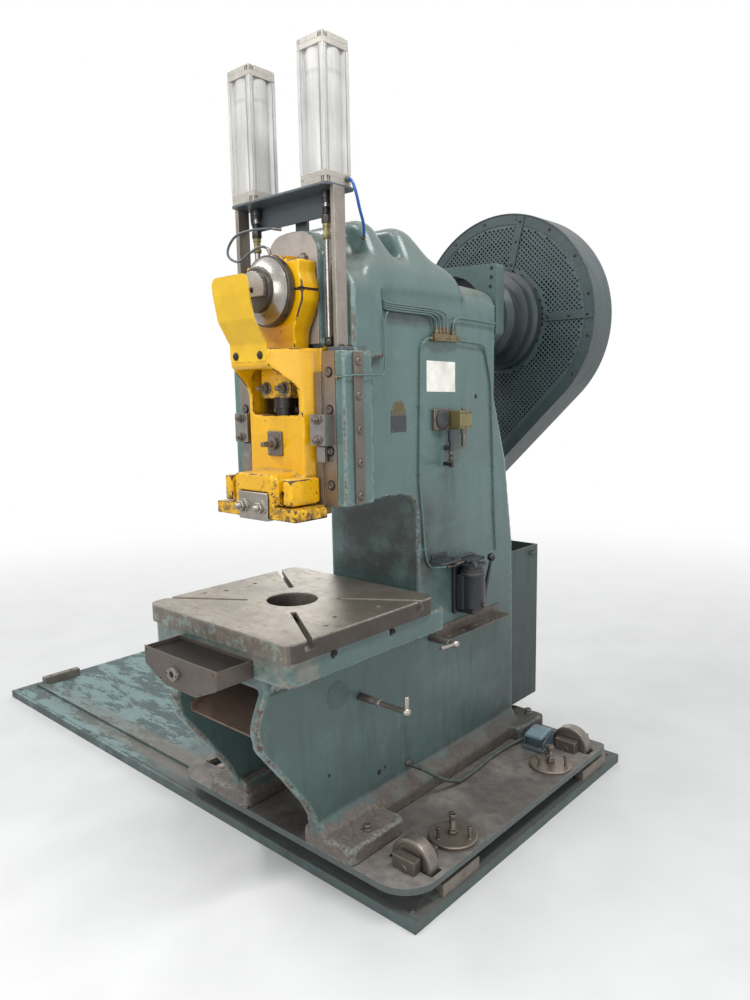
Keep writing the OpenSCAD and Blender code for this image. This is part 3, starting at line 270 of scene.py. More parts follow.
def rounded(corners, n=6):
    """Outline (u, v) of corners (u, v, radius), each radius worked as an arc tangent to both sides."""
    c = np.asarray(corners, float)
    out = []
    for k in range(len(c)):
        p, r = c[k, :2], c[k, 2]
        a, b = c[k - 1, :2] - p, c[(k + 1) % len(c), :2] - p
        if r <= 0:
            out.append(p[None])
            continue
        a, b = a / np.linalg.norm(a), b / np.linalg.norm(b)
        half = acos(np.clip(a @ b, -1, 1)) / 2
        mid = (a + b) / np.linalg.norm(a + b)
        centre = p + mid * r / sin(half)
        s, e = p + a * r / tan(half) - centre, p + b * r / tan(half) - centre
        t0 = atan2(s[1], s[0])
        turn = (atan2(e[1], e[0]) - t0 + pi) % (2 * pi) - pi
        t = t0 + turn * np.linspace(0, 1, n + 1)
        out.append(centre + r * np.stack([np.cos(t), np.sin(t)], -1))
    return np.concatenate(out)


def outline(corners, n=6):
    """Rounded outline whose corners (u, v, radius) are given in millimetres."""
    return rounded(np.asarray(corners, float) / 1000, n)


def prism(shape, lo, hi, plane="xz", edge=0.0):
    """Outline (u, v) carried from lo to hi across its plane, with a chamfer of size edge on both ends."""
    o = np.asarray(shape, float)
    d = np.roll(o, -1, 0) - np.roll(o, 1, 0)
    area = 0.5 * np.sum(o[:, 0] * np.roll(o[:, 1], -1) - np.roll(o[:, 0], -1) * o[:, 1])
    inward = np.stack([-d[:, 1], d[:, 0]], -1) * np.sign(area)
    inward /= np.linalg.norm(inward, axis=1)[:, None] + 1e-12
    rows = [(0.0, lo), (0.0, hi)] if edge <= 0 else [(edge, lo), (0.0, lo + edge), (0.0, hi - edge), (edge, hi)]
    place = {"xz": (0, 2, 1), "yz": (1, 2, 0), "xy": (0, 1, 2)}[plane]
    points = np.zeros((len(rows), len(o), 3))
    for k, (inset, h) in enumerate(rows):
        q = o + inward * inset
        points[k, :, place[0]], points[k, :, place[1]], points[k, :, place[2]] = q[:, 0], q[:, 1], h
    return closed_tube(points)


def slab(x0, x1, y0, y1, z0, z1, r=0.0, edge=0.001, plane="xy"):
    """Block with rounded corners and chamfered rims."""
    box = {"xy": (x0, x1, y0, y1, z0, z1), "xz": (x0, x1, z0, z1, y0, y1), "yz": (y0, y1, z0, z1, x0, x1)}[plane]
    a0, a1, b0, b1, h0, h1 = box
    return prism(rounded([(a0, b0, r), (a1, b0, r), (a1, b1, r), (a0, b1, r)], 5), h0, h1, plane, edge)


# Castings made from the CAD solids


def edges_of(mesh):
    """Both point numbers of every edge."""
    e = np.empty(len(mesh.edges) * 2, np.int32)
    mesh.edges.foreach_get("vertices", e)
    return e.reshape(-1, 2)


def points_of(mesh):
    """Places of all points."""
    p = np.empty(len(mesh.vertices) * 3, np.float32)
    mesh.vertices.foreach_get("co", p)
    return p.reshape(-1, 3).astype(float)


def relax(p, e, times, weight, shrink=True):
    """Laplacian smoothing p += w (mean of neighbours - p); with shrink off each pass is followed by an opposite one."""
    n = len(p)
    degree = np.bincount(e.ravel(), minlength=n)[:, None]
    for k in range(times):
        total = np.stack([np.bincount(e[:, 0], p[e[:, 1], c], n) + np.bincount(e[:, 1], p[e[:, 0], c], n)
            for c in range(3)], -1)
        step = (total / degree - p) * weight
        p = p + step * (1.0 if shrink or k % 2 == 0 else -1.04)
    return p


def evaluated(obj, keep):
    """Applies an object's modifiers; keep is the mesh name."""
    dg = bpy.context.evaluated_depsgraph_get()
    mesh = bpy.data.meshes.new_from_object(obj.evaluated_get(dg))
    mesh.name = keep
    obj.modifiers.clear()
    old = obj.data
    obj.data = mesh
    bpy.data.meshes.remove(old)
    return mesh


def mark_edges(mesh):
    """Stores a float attribute edge: how convex the surface is, the mean of (n_i - n_j).(p_i - p_j) / |p_i - p_j|
    over a point's edges, blended half and half with its neighbours' mean."""
    p, e = points_of(mesh), edges_of(mesh)
    nor = np.empty(len(mesh.vertices) * 3, np.float32)
    mesh.vertices.foreach_get("normal", nor)
    nor = nor.reshape(-1, 3)
    i, j, n = e[:, 0], e[:, 1], len(p)
    d = p[i] - p[j]
    c = np.einsum("ij,ij->i", nor[i] - nor[j], d) / (np.linalg.norm(d, axis=1) + 1e-9)
    degree = np.bincount(e.ravel(), minlength=n)
    value = (np.bincount(i, c, n) + np.bincount(j, c, n)) / degree
    value = 0.5 * value + 0.5 * (np.bincount(i, value[j], n) + np.bincount(j, value[i], n)) / degree
    attribute = mesh.attributes.new("edge", "FLOAT", "POINT")
    attribute.data.foreach_set("value", np.clip(value * 2.0, -1, 1).astype(np.float32))


def recast(name, node, body, look, voxel, times, softer=None, faces=60000):
    """Casting copied from a CAD node: merged, remeshed to equal voxels, relaxed, and cut down to about that many faces.
    softer(points) gives how far each point takes part in a second, stronger relaxing."""
    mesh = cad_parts[node].data.copy()
    rework(mesh, 2e-5)
    obj = placed(name, mesh)
    m = obj.modifiers.new("voxels", "REMESH")
    m.mode, m.voxel_size = "VOXEL", voxel
    mesh = evaluated(obj, name)
    p, e = points_of(mesh), edges_of(mesh)
    p = relax(p, e, times, 0.5, shrink=False)
    if softer is not None:
        steps, share = softer(p)
        p = relax(p, e, steps, 0.5 * share[:, None])
    mesh.vertices.foreach_set("co", p.astype(np.float32).ravel())
    mesh.update()
    if len(mesh.polygons) * 2 > faces:
        m = obj.modifiers.new("fewer", "DECIMATE")
        m.ratio = faces / (len(mesh.polygons) * 2)
        mesh = evaluated(obj, name)
    mark_edges(mesh)
    finish_mesh(obj, look, True, 180.0)
    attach(obj, body)
    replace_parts(obj, node)


# Materials


class Graph:
    """Short way to build a node material: each call adds a node and gives its output socket."""

    def __init__(self, name):
        self.material = bpy.data.materials.new(name)
        self.material.use_nodes = True
        self.tree = self.material.node_tree
        self.tree.nodes.clear()
        self.place = self.add("TexCoord", out="Object")

    def add(self, kind, ins=None, out=0, **props):
        node = self.tree.nodes.new("ShaderNode" + kind)
        for key, value in props.items():
            setattr(node, key, value)
        for key, value in (ins or {}).items():
            self.feed(node, key, value)
        return node.outputs[out]

    def feed(self, node, key, value):
        """Links a socket to an input, or writes a value on it."""
        if isinstance(value, NodeSocket):
            self.tree.links.new(value, node.inputs[key])
        else:
            colour = node.inputs[key].type == "RGBA"
            node.inputs[key].default_value = (*srgb(value), 1.0) if colour else value

    def math(self, op, a, b=0.0, c=0.0, clamp=False):
        return self.add("Math", {0: a, 1: b, 2: c}, operation=op, use_clamp=clamp)

    def mul(self, a, b):
        return self.math("MULTIPLY", a, b)

    def plus(self, a, b, clamp=True):
        return self.math("ADD", a, b, clamp=clamp)

    def sum(self, a, b, share):
        """a and a share of b, not clamped."""
        return self.math("ADD", a, self.mul(b, share))

    def most(self, a, b):
        return self.math("MAXIMUM", a, b)

    def between(self, value, lo, hi, a=0.0, b=1.0):
        """Straight step of value from lo to hi, clamped, giving a to b."""
        return self.add("MapRange", {0: value, 1: lo, 2: hi, 3: a, 4: b}, clamp=True)

    def noise(self, scale, detail, rough, stretch=(1, 1, 1), shift=0.0):
        at = self.place
        if stretch != (1, 1, 1) or shift:
            at = self.add("Mapping", {0: at, 1: (shift, shift * 0.7, shift * 1.3), 3: stretch})
        return self.add("TexNoise", {"Vector": at, "Scale": scale, "Detail": detail, "Roughness": rough})

    def mix(self, share, a, b):
        """Colour a, and b where share is 1."""
        node = self.tree.nodes.new("ShaderNodeMix")
        node.data_type, node.clamp_factor = "RGBA", True
        for key, value in ((0, share), (6, a), (7, b)):
            self.feed(node, key, value)
        return node.outputs[2]

    def axis(self, name):
        return self.add("SeparateXYZ", {0: self.place}, out=name)

    def span(self, name, lo, hi, a=0.0, b=1.0):
        """Straight step along an axis, as between gives."""
        return self.between(self.axis(name), lo, hi, a, b)

    def face(self, name, lo, hi):
        """Straight step of how far the surface faces along an axis."""
        return self.between(self.facing(name), lo, hi)

    def facing(self, name):
        """Component of the true surface normal, in the part's frame."""
        normal = self.add("NewGeometry", out="True Normal")
        return self.add("SeparateXYZ", {0: normal}, out=name)

    def box(self, x, y, z, soft):
        """1 inside a box given by ranges along some axes, falling to 0 over the distance soft."""
        total = None
        for name, ends in (("X", x), ("Y", y), ("Z", z)):
            if ends is None:
                continue
            v, (lo, hi) = self.axis(name), ends
            inside = self.mul(self.between(v, lo - soft, lo + soft), self.between(v, hi + soft, hi - soft))
            total = inside if total is None else self.mul(total, inside)
        return total

    def corner(self, radius, low=0.02, high=0.25):
        """Edges of a solid with few faces: 1 where a rounded edge's normal turns from the face's normal."""
        bevel = self.add("Bevel", {"Radius": radius}, samples=4)
        normal = self.add("NewGeometry", out="Normal")
        same = self.add("VectorMath", {0: bevel, 1: normal}, out="Value", operation="DOT_PRODUCT")
        return self.between(self.math("SUBTRACT", 1.0, same), low, high)

    def shade(self, colour, rough, metal, height, bump, round_by=0.0):
        """Principled surface; height feeds a bump of that many metres, round_by rounds the edges of plain solids."""
        node = self.tree.nodes.new("ShaderNodeBsdfPrincipled")
        for key, value in {"Base Color": colour, "Roughness": rough, "Metallic": metal}.items():
            self.feed(node, key, value)
        normal = self.add("Bevel", {"Radius": round_by}, samples=4) if round_by > 0 else None
        ins = {"Strength": 1.0, "Distance": bump, "Height": height}
        if normal is not None:
            ins["Normal"] = normal
        self.feed(node, "Normal", self.add("Bump", ins))
        out = self.tree.nodes.new("ShaderNodeOutputMaterial")
        self.tree.links.new(node.outputs[0], out.inputs[0])
        return self.material


def srgb(code):
    """Linear colour of a written one such as 5a7f7b; a colour that is linear already stays."""
    if not isinstance(code, str):
        return tuple(code)
    v = np.array([int(code[k : k + 2], 16) for k in (0, 2, 4)]) / 255
    return tuple(np.where(v <= 0.04045, v / 12.92, ((v + 0.055) / 1.055) ** 2.4))


def scaled(colour, by):
    """Colour made lighter or darker by a factor."""
    return tuple(c * by for c in srgb(colour))


def paint(name, colour, chips=1.0, grime=1.0, gloss=0.3, cast=False, round_by=0.003, low=0.0, bare="6a5c50",
          spots=0.0, extra=None, film="2c2a27", orange_peel=1.0, chip_at=1.12):
    """Old machine enamel: mottled colour, fine dust, streaks of oil, crevice grime deepened by painted shade in hollows
    of castings, pale rims of rubbed paint with a painted highlight, and chips down to brown iron on the edges.
    cast reads the edge attribute of a casting; other solids find their edges with a rounded normal. low adds wear
    near the floor."""
    g = Graph(name)
    press = bpy.context.scene.press_paint
    chips, grime = chips * press.wear, grime * press.grime
    broad = g.noise(2.2, 4.0, 0.6)
    middle = g.noise(14.0, 5.0, 0.62, shift=3.0)
    fine = g.noise(90.0, 4.0, 0.65, shift=7.0)
    c = g.mix(g.between(broad, 0.32, 0.7), scaled(colour, 0.84), scaled(colour, 1.12))
    c = g.mix(g.between(middle, 0.5, 0.74, 0.0, 0.3), c, scaled(colour, 1.45))
    c = g.mix(g.between(fine, 0.55, 0.8, 0.0, 0.22), c, scaled(colour, 0.6))
    streak = g.noise(26.0, 4.0, 0.6, stretch=(1.0, 1.0, 0.1), shift=11.0)
    run = g.mul(g.between(streak, 0.52, 0.74), g.between(broad, 0.34, 0.62))
    dirt = g.mul(run, 0.32 * grime)
    if low > 0:
        height = g.between(g.sum(g.axis("Z"), middle, 0.3), 0.3, 1.25, 1.0, 0.0)
        dirt = g.plus(dirt, g.mul(g.mul(height, g.between(middle, 0.3, 0.7, 0.25, 1.0)), 0.62 * low * grime))
    shelf = g.face("Z", 0.5, 0.95)
    dust = g.mul(shelf, g.between(middle, 0.3, 0.62, 0.25, 0.75))
    c = g.mix(g.mul(dust, 0.55 * grime), c, "7d756c")
    c = g.mix(dirt, c, film)
    speck = g.mul(g.between(g.noise(240.0, 2.0, 0.5, shift=2.0), 0.66, 0.72), g.between(middle, 0.42, 0.58))
    c = g.mix(g.mul(speck, 0.75 * grime), c, scaled(film, 0.7))
    if cast:
        edge = g.add("Attribute", out="Fac", attribute_name="edge")
        rim = g.between(edge, 0.1, 0.42)
        # Hollows of a casting darker: crevice grime and painted shade.
        pit = g.between(edge, -0.06, -0.34)
        c = g.mix(g.mul(pit, 0.7 * grime), c, film)
    else:
        rim = g.corner(0.006)
    worn = g.plus(g.mul(rim, 0.62), g.mul(g.between(middle, 0.35, 0.75), 0.62))
    chip = g.mul(g.between(g.sum(worn, g.noise(70.0, 5.0, 0.7, shift=5.0), 0.5), chip_at, chip_at + 0.07),
        g.between(rim, 0.02, 0.2))
    if spots > 0:
        flake = g.between(g.sum(g.noise(32.0, 6.0, 0.75, shift=9.0), broad, 0.25), 0.86 - 0.06 * spots,
            0.88 - 0.06 * spots)
        chip = g.most(chip, flake)
    if chips <= 0:
        chip = g.mul(chip, 0.0)
    metal = g.mul(chip, 0.55)
    rust = g.mix(g.between(g.noise(55.0, 4.0, 0.7), 0.4, 0.65), bare, "3a2a20")
    # Paler paint along the edges: rubbed paint and a painted highlight.
    worn_rim_highlight = g.mul(g.mul(rim, g.between(fine, 0.3, 0.7)), 0.28 * min(chips, 1.0))
    c = g.mix(worn_rim_highlight, c, scaled(colour, 1.9))
    c = g.mix(chip, c, rust)
    rough = g.plus(g.plus(g.between(fine, 0.3, 0.8, gloss - 0.05, gloss + 0.12), g.mul(dirt, 0.3)), g.mul(dust, 0.25))
    rough = g.most(rough, g.mul(chip, 0.55))
    if extra is not None:
        c, rough, metal = extra(g, c, rough, metal, middle, fine)
    peel = g.sum(g.mul(g.noise(9.0, 2.0, 0.5, shift=1.0), 1.5), g.noise(60.0, 2.0, 0.5, shift=4.0), 0.2 * orange_peel)
    peel = g.math("SUBTRACT", peel, g.mul(chip, 0.22))
    return g.shade(c, rough, metal, peel, 0.0022, 0.0 if cast else round_by)


def iron(name, colour, rough=0.42, metal=0.85, rust=0.3, scratch=0.4, grime=0.6, grain=(1, 1, 1), round_by=0.0015,
         bright=0.35, turned=None, extra=None, film="2a2622", bump=0.0006):
    """Bare steel: grain and scratches along one way, brown rust in patches, dark oil, and bright rubbed edges lightened
    further by a painted highlight.
    turned = (x, z) draws turning rings about an axis along Y through that point."""
    g = Graph(name)
    broad = g.noise(6.0, 4.0, 0.6, shift=2.0)
    middle = g.noise(38.0, 5.0, 0.68, shift=6.0)
    fine = g.noise(320.0, 3.0, 0.6, stretch=grain, shift=1.0)
    long = g.noise(60.0, 3.0, 0.6, stretch=tuple(0.12 + 0.88 * (v > 0.99) if grain != (1, 1, 1) else 1
        for v in grain), shift=4.0)
    c = g.mix(g.between(broad, 0.3, 0.7), scaled(colour, 0.8), scaled(colour, 1.18))
    c = g.mix(g.between(fine, 0.35, 0.75, 0.0, 0.35), c, scaled(colour, 1.5))
    c = g.mix(g.mul(g.between(long, 0.56, 0.62), 0.4 * scratch), c, scaled(colour, 0.5))
    stain = g.mul(g.between(g.sum(middle, broad, 0.35), 0.78 - 0.25 * rust, 0.92 - 0.2 * rust), min(1.0, rust * 1.6))
    c = g.mix(stain, c, g.mix(middle, "6e4a33", "3d2b22"))
    oil = g.mul(g.between(g.noise(11.0, 5.0, 0.65, shift=12.0), 0.46, 0.68), 0.8 * grime)
    c = g.mix(oil, c, film)
    # Lighter colour on the edges: rubbed steel and a painted highlight.
    rim = g.corner(0.0025)
    c = g.mix(g.mul(rim, bright), c, scaled(colour, 2.2))
    r = g.plus(g.between(fine, 0.3, 0.8, rough - 0.08, rough + 0.12), g.mul(stain, 0.3))
    m = g.math("SUBTRACT", metal, g.mul(g.plus(stain, oil), 0.6), clamp=True)
    height = g.sum(g.mul(fine, 0.5), middle, 0.6)
    if turned is not None:
        at = g.add("Mapping", {0: g.place, 1: (-turned[0], 0, -turned[1])})
        flat = g.add("VectorMath", {0: at, 1: (1.0, 0.0, 1.0)}, operation="MULTIPLY")
        far = g.add("VectorMath", {0: flat}, out="Value", operation="LENGTH")
        rings = g.math("SINE", g.mul(far, 5200.0))
        uneven = g.add("TexNoise", {"Vector": g.add("CombineXYZ", {0: far}), "Scale": 420.0, "Detail": 4.0})
        c = g.mix(g.between(uneven, 0.42, 0.62, 0.0, 0.5), c, scaled(colour, 0.55))
        height = g.plus(height, g.sum(g.mul(rings, 0.1), uneven, 0.8), clamp=False)
    if extra is not None:
        c, r, m = extra(g, c, r, m, middle, fine)
    return g.shade(c, r, m, height, bump, round_by)


def plastic(name, colour, rough=0.45, grime=0.4, round_by=0.001):
    """Rubber or plastic: dusty patches, scuffs and a fine grain."""
    g = Graph(name)
    broad, fine = g.noise(16.0, 4.0, 0.6), g.noise(260.0, 3.0, 0.6, shift=3.0)
    c = g.mix(g.between(broad, 0.3, 0.7), scaled(colour, 0.8), scaled(colour, 1.2))
    c = g.mix(g.mul(g.between(g.noise(30.0, 5.0, 0.7, shift=5.0), 0.45, 0.7), grime), c, "6b645c")
    c = g.mix(g.between(fine, 0.6, 0.8, 0.0, 0.3), c, scaled(colour, 1.7))
    return g.shade(c, g.between(broad, 0.3, 0.7, rough - 0.08, rough + 0.15), 0.0, fine, 0.0004, round_by)


# Camera, floor and light


def make_camera():
    """Camera at the photograph's place: 42 degrees round from the front, 8.3 degrees down, standing 1.55 m high."""
    yaw, pitch, roll = radians(42.033), radians(-8.289), radians(-1.011)
    forward = Vector((-sin(yaw) * cos(pitch), cos(yaw) * cos(pitch), sin(pitch)))
    level = Vector((cos(yaw), sin(yaw), 0.0))
    above = level.cross(forward)
    right = level * cos(roll) + above * sin(roll)
    up = above * cos(roll) - level * sin(roll)
    data = bpy.data.cameras.new("camera")
    data.lens, data.sensor_width, data.sensor_fit = 762.46 * 36 / 1000, 36.0, "AUTO"
    cam = placed("camera", data)
    m = Matrix((right, up, -forward)).transposed().to_4x4()
    m.translation = Vector((1.844, -1.629, 1.55))
    cam.matrix_world = m
    bpy.context.scene.camera = cam


def make_stage():
    """Pale floor, white surroundings for the camera and for reflections, and soft lamps overhead and at the front."""
    g = Graph("floor_pale")
    fine = g.noise(3.0, 3.0, 0.5)
    c = g.mix(g.between(fine, 0.3, 0.7), (0.66, 0.66, 0.655), (0.72, 0.72, 0.715))
    floor_mat = g.shade(c, 0.75, 0.0, g.noise(120.0, 2.0, 0.5), 0.0003)
    away = g.add("VectorMath", {0: g.add("VectorMath", {0: g.place, 1: (0.7, -0.5, 0.0)}, operation="SUBTRACT")},
        out="Value", operation="LENGTH")
    out = next(n for n in g.tree.nodes if n.type == "OUTPUT_MATERIAL")
    near, fade = out.inputs[0].links[0].from_socket, g.tree.nodes.new("ShaderNodeMixShader")
    g.tree.links.new(g.add("MapRange", {0: away, 1: 1.6, 2: 7.5}, interpolation_type="SMOOTHSTEP"), fade.inputs[0])
    g.tree.links.new(near, fade.inputs[1])
    g.tree.links.new(g.add("BsdfTransparent"), fade.inputs[2])
    g.tree.links.new(fade.outputs[0], out.inputs[0])
    mesh = bpy.data.meshes.new("floor")
    mesh.from_pydata([(14.0 * x, 14.0 * y, -0.0006) for x, y in ((-1, -1), (1, -1), (1, 1), (-1, 1))], [],
        [(0, 1, 2, 3)])
    mesh.materials.append(floor_mat)
    floor = placed("floor", mesh)
    world = bpy.data.worlds.new("studio")
    bpy.context.scene.world = world
    world.use_nodes = True
    tree = world.node_tree
    tree.nodes.clear()
    kinds = ("LightPath", "Math", "Math", "Background", "Background", "MixShader", "OutputWorld")
    path, first, seen, dim, white, mixed, out = (tree.nodes.new("ShaderNode" + kind) for kind in kinds)
    first.operation = seen.operation = "MAXIMUM"
    dim.inputs[0].default_value, dim.inputs[1].default_value = (0.95, 0.97, 1.0, 1.0), 0.5
    white.inputs[0].default_value, white.inputs[1].default_value = (1.0, 1.0, 1.0, 1.0), 1.0
    for source, name, to, k in (
        (path, "Is Camera Ray", first, 0), (path, "Is Transmission Ray", first, 1), (path, "Is Glossy Ray", seen, 1),
        (first, 0, seen, 0), (seen, 0, mixed, 0), (dim, 0, mixed, 1), (white, 0, mixed, 2), (mixed, 0, out, 0),
    ):
        tree.links.new(source.outputs[name], to.inputs[k])
    lamps = [
        ("tube_left", (-1.6, -1.4, 4.3), (-0.2, 0.3, 1.0), 3.2, 0.45, 92.0),
        ("tube_right", (1.9, 0.2, 4.3), (0.0, 0.4, 1.0), 3.2, 0.45, 92.0),
        ("front_soft", (1.0, -4.4, 2.6), (0.0, 0.2, 1.1), 2.6, 2.0, 78.0),
        ("side_soft", (4.6, -0.6, 1.9), (0.0, 0.5, 1.0), 2.2, 1.8, 30.0),
        ("back_soft", (-3.2, 4.2, 3.2), (0.0, 0.6, 1.2), 2.5, 2.0, 45.0),
    ]
    for name, at, aim, wide, tall, power in lamps:
        data = bpy.data.lights.new(name, "AREA")
        data.shape, data.size, data.size_y, data.energy = "RECTANGLE", wide, tall, power
        lamp = placed(name, data)
        lamp.location = at
        lamp.rotation_euler = (Vector(aim) - Vector(at)).to_track_quat("-Z", "Y").to_euler()
    bpy.context.scene.view_settings.view_transform = "Standard"


# Cable


CABLE_ROUTE = [
    (238.4, 323, 238), (256, 323.6, 236.5), (280, 344, 222), (298, 376, 196),
    (308, 420, 164), (312, 470, 140), (312, 502, 127.5), (311.5, 530, 124.3),
    (309, 590, 123.5), (304, 650, 123.5), (298, 710, 123.5), (296, 765, 123.5),
    (296, 830, 123.5), (302, 890, 124.7), (316, 926, 134), (330, 939.4, 143),
    (340.5, 940, 144),
]


def make_cable(shape):
    """Foot switch cable from its gland on the wall to the switch, with a tapered sleeve at each end."""
    path = curve_through(np.array(CABLE_ROUTE) / 1000, 3)
    r = shape.cable / 2
    step = np.linalg.norm(np.diff(path, axis=0), axis=1)
    s = np.concatenate([[0], np.cumsum(step)])
    cable = made("foot_cable", *sweep(path, r, 16), "cable", sharp=80)
    near = sweep(path[s < 0.045], np.interp(s[s < 0.045], [0, 0.045], [0.0105, r * 1.04]), 16)
    away = s[-1] - s < 0.04
    far = sweep(path[away], np.interp((s[-1] - s)[away], [0, 0.04], [0.0105, r * 1.04]), 16)
    sleeve = Parts().add(*near).add(*far).make("cable_sleeves", "rubber", sharp=80)
    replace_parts(cable, "pedal_cable")


# Castings


def make_frame(shape):
    """Frame casting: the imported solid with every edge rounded, and the ribs on its head blended into the barrel."""

    def head(p):
        high = held((p[:, 2] - 1.79) / 0.06) * held((p[:, 1] - 0.1) / 0.05) * held((0.86 - p[:, 1]) / 0.04)
        outside = held((np.hypot(p[:, 0], p[:, 2] - AXIS) - 0.1) / 0.02)
        return 26, high * outside

    recast("frame_casting", "frame", "carriage", "casting", shape.cast_voxel, 4, head, 150000)


def make_moving_castings():
    """Ram, connecting rod and its cap as rounded yellow castings."""
    recast("ram_casting", "ram", "ram", "ram", 0.0036, 6, lambda p: (6, held((p[:, 2] - 1.19) / 0.03)), 70000)
    recast("rod_casting", "conrod", "connecting_rod", "rod", 0.0032, 6, None, 36000)
    recast("rod_cap_casting", "conrod_cap", "connecting_rod", "rod", 0.0032, 6, None, 26000)


# Bent guard sheet before the eccentric


def make_sheet_cover():
    """Sheet bent along its profile (y, z) by a smooth curve, its four corners rounded, its rim and folds softened.
    The grid's columns run across: x = w(z) (2 u - 1), with w shrinking near both ends as sqrt(r^2 - d^2) does."""
    bends = outline([(-143, 1636.5, 0), (-143, 1690, 12), (-183.5, 1757, 30), (-198.5, 1830, 40), (-203, 1883.5, 0)], 6)
    seg = np.linalg.norm(np.diff(bends, axis=0), axis=1)
    s = np.concatenate([[0], np.cumsum(seg)])
    fine = np.unique(np.concatenate([np.linspace(0, 0.02, 9), np.linspace(0.02, s[-1] - 0.03, 46),
        s[-1] - 0.03 * (1 - np.sin(np.linspace(0, 1, 12) * pi / 2))]))
    y, z = np.interp(fine, s, bends[:, 0]), np.interp(fine, s, bends[:, 1])
    d = np.gradient(np.stack([y, z], -1), axis=0)
    d /= np.linalg.norm(d, axis=1)[:, None]
    out = np.stack([-d[:, 1], d[:, 0]], -1)
    half = np.full(len(fine), 0.0848)
    for end, r in ((fine, 0.013), (s[-1] - fine, 0.026)):
        inside = held(1 - end / r)
        half = np.minimum(half, 0.0848 - r + r * np.sqrt(1 - inside**2))
    u = np.linspace(-1, 1, 33)
    x = half[:, None] * u
    crown = 0.0006 * np.sin(z * 47)[:, None] * (1 - u**2)
    faces_of = []
    for t in (0.0015, -0.0015):
        yy, zz = (y + out[:, 0] * t)[:, None] + crown, (z + out[:, 1] * t)[:, None] + 0 * x
        faces_of.append(np.stack([x, yy, zz], -1).reshape(-1, 3))
    sheet = made("bent_cover", np.vstack(faces_of), sheet_faces(*x.shape), "sheet", "ram", sharp=50)
    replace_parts(sheet, "eccentric_cover")
    screws = Parts()
    for sx in (-0.057, 0.057):
        screws.add(*lathe([(12.5, 0), (12.5, 1.2), (11.8, 1.8)], (sx, -0.1446, 1.655), FRONT, 28))
        screws.add(*lathe([(8.8, 1.2), (9.2, 3), (8, 6), (5.8, 7.2), (4.4, 7.4), (4, 5.8)], (sx, -0.1446, 1.655),
            FRONT, 24))
    screws.make("cover_screws", "black_steel", "ram")


# Perforated flywheel guard


def drop_distance(p, big, small):
    """Signed distance (x, z) to the guard's outline grown from two circles (centre, radius) and their common
    tangents."""
    (a, ra), (b, rb) = (np.asarray(big[0]), big[1]), (np.asarray(small[0]), small[1])
    d = b - a
    length = np.linalg.norm(d)
    w = d / length
    q = p - a
    along, off = q @ w, np.abs(q @ np.array([-w[1], w[0]]))
    k = (ra - rb) / length
    c = sqrt(1 - k * k)
    near_a, near_b = np.hypot(along, off) - ra, np.hypot(along - length, off) - rb
    line = off * c + along * k - ra
    foot = along * c - off * k
    return np.where(foot < 0, near_a, np.where(foot > length * c, near_b, line))


GUARD_BIG, GUARD_SMALL = ((0.0, AXIS), 0.44), ((-0.3, 1.118), 0.14)


def make_guard_mesh(shape):
    """Perforated sheet with real diamond holes: a lattice turned by 45 degrees, each cell a frame of four quads
    round a square hole.
    Cells that touch the rim, the hub ring or the motor shaft are left closed."""
    pitch, share = shape.mesh_pitch, shape.mesh_open
    k = np.arange(-70, 71)
    i, j = np.meshgrid(k, k, indexing="ij")
    cx, cz = (i + j) * pitch / sqrt(2), AXIS - 0.25 + (i - j) * pitch / sqrt(2)
    centre = np.stack([cx, cz], -1).reshape(-1, 2)
    d = drop_distance(centre, GUARD_BIG, GUARD_SMALL) + 0.046
    hub = np.hypot(centre[:, 0], centre[:, 1] - AXIS)
    shaft = np.hypot(centre[:, 0] + 0.32, centre[:, 1] - 1.118)
    keep = (d < 0.012) & (hub > 0.206) & (shaft > 0.034)
    centre, d, hub, shaft = centre[keep], d[keep], hub[keep], shaft[keep]
    solid = (d > -0.01) | (hub < 0.226) | (shaft < 0.052)
    h = pitch / sqrt(2)
    outer = np.array([(h, 0), (0, h), (-h, 0), (0, -h)])
    n = len(centre)
    points = np.zeros((n, 8, 3))
    points[..., (0, 2)] = centre[:, None] + np.vstack([outer, outer * share])
    points[..., 1] = 1.2412
    base = np.arange(n) * 8
    quads = [np.stack([base + a, base + (a + 1) % 4, base + 4 + (a + 1) % 4, base + 4 + a], -1) for a in range(4)]
    filled = base[solid]
    quads.append(np.stack([filled + 4, filled + 5, filled + 6, filled + 7], -1))
    obj = made("guard_lattice", points.reshape(-1, 3), np.concatenate(quads).tolist(), "guard_mesh", smooth=False)
    rework(obj.data, 1e-5)
    thick = obj.modifiers.new("sheet", "SOLIDIFY")
    thick.thickness, thick.offset = 0.0016, 0.0
    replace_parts(obj, "guard_mesh")


def make_guard_trim():
    """Screws along the guard's flat rim, the folded edge, and the screws of its two straps."""
    trim, screws = several(2)
    for r, y, wide in ((0.4365, 1.2392, 0.0024), (0.3965, 1.2392, 0.0018)):
        arc = np.linspace(-radians(38), radians(203), 120)
        path = np.stack([r * np.cos(arc), np.full_like(arc, y), AXIS + r * np.sin(arc)], -1)
        trim.add(*sweep(path, wide, 8, up=BACK))
    trim.make("guard_beads", "guard")
    for a in np.radians(np.arange(-34, 200, 22.5)):
        at = (0.418 * cos(a), 1.2396, AXIS + 0.418 * sin(a))
        screws.add(*lathe([(6.2, 0), (6, 1.6), (4.5, 3), (2, 3.4)], at, FRONT, 14))
    for a, radii in ((radians(76), (0.235, 0.33, 0.41)), (0.0, (0.235, 0.33, 0.41))):
        for r in radii:
            at = (r * cos(a), 1.2364, AXIS + r * sin(a))
            screws.add(*lathe([(6.8, 0), (6.6, 1.8), (4.8, 3.4), (2, 3.8)], at, FRONT, 14))
    screws.make("guard_screws", "black_steel")


# Counterbalance cylinders, their deck, posts and rods


SIDES = (-1, 1)
CYL_X, CYL_Y = 0.162, 0.044


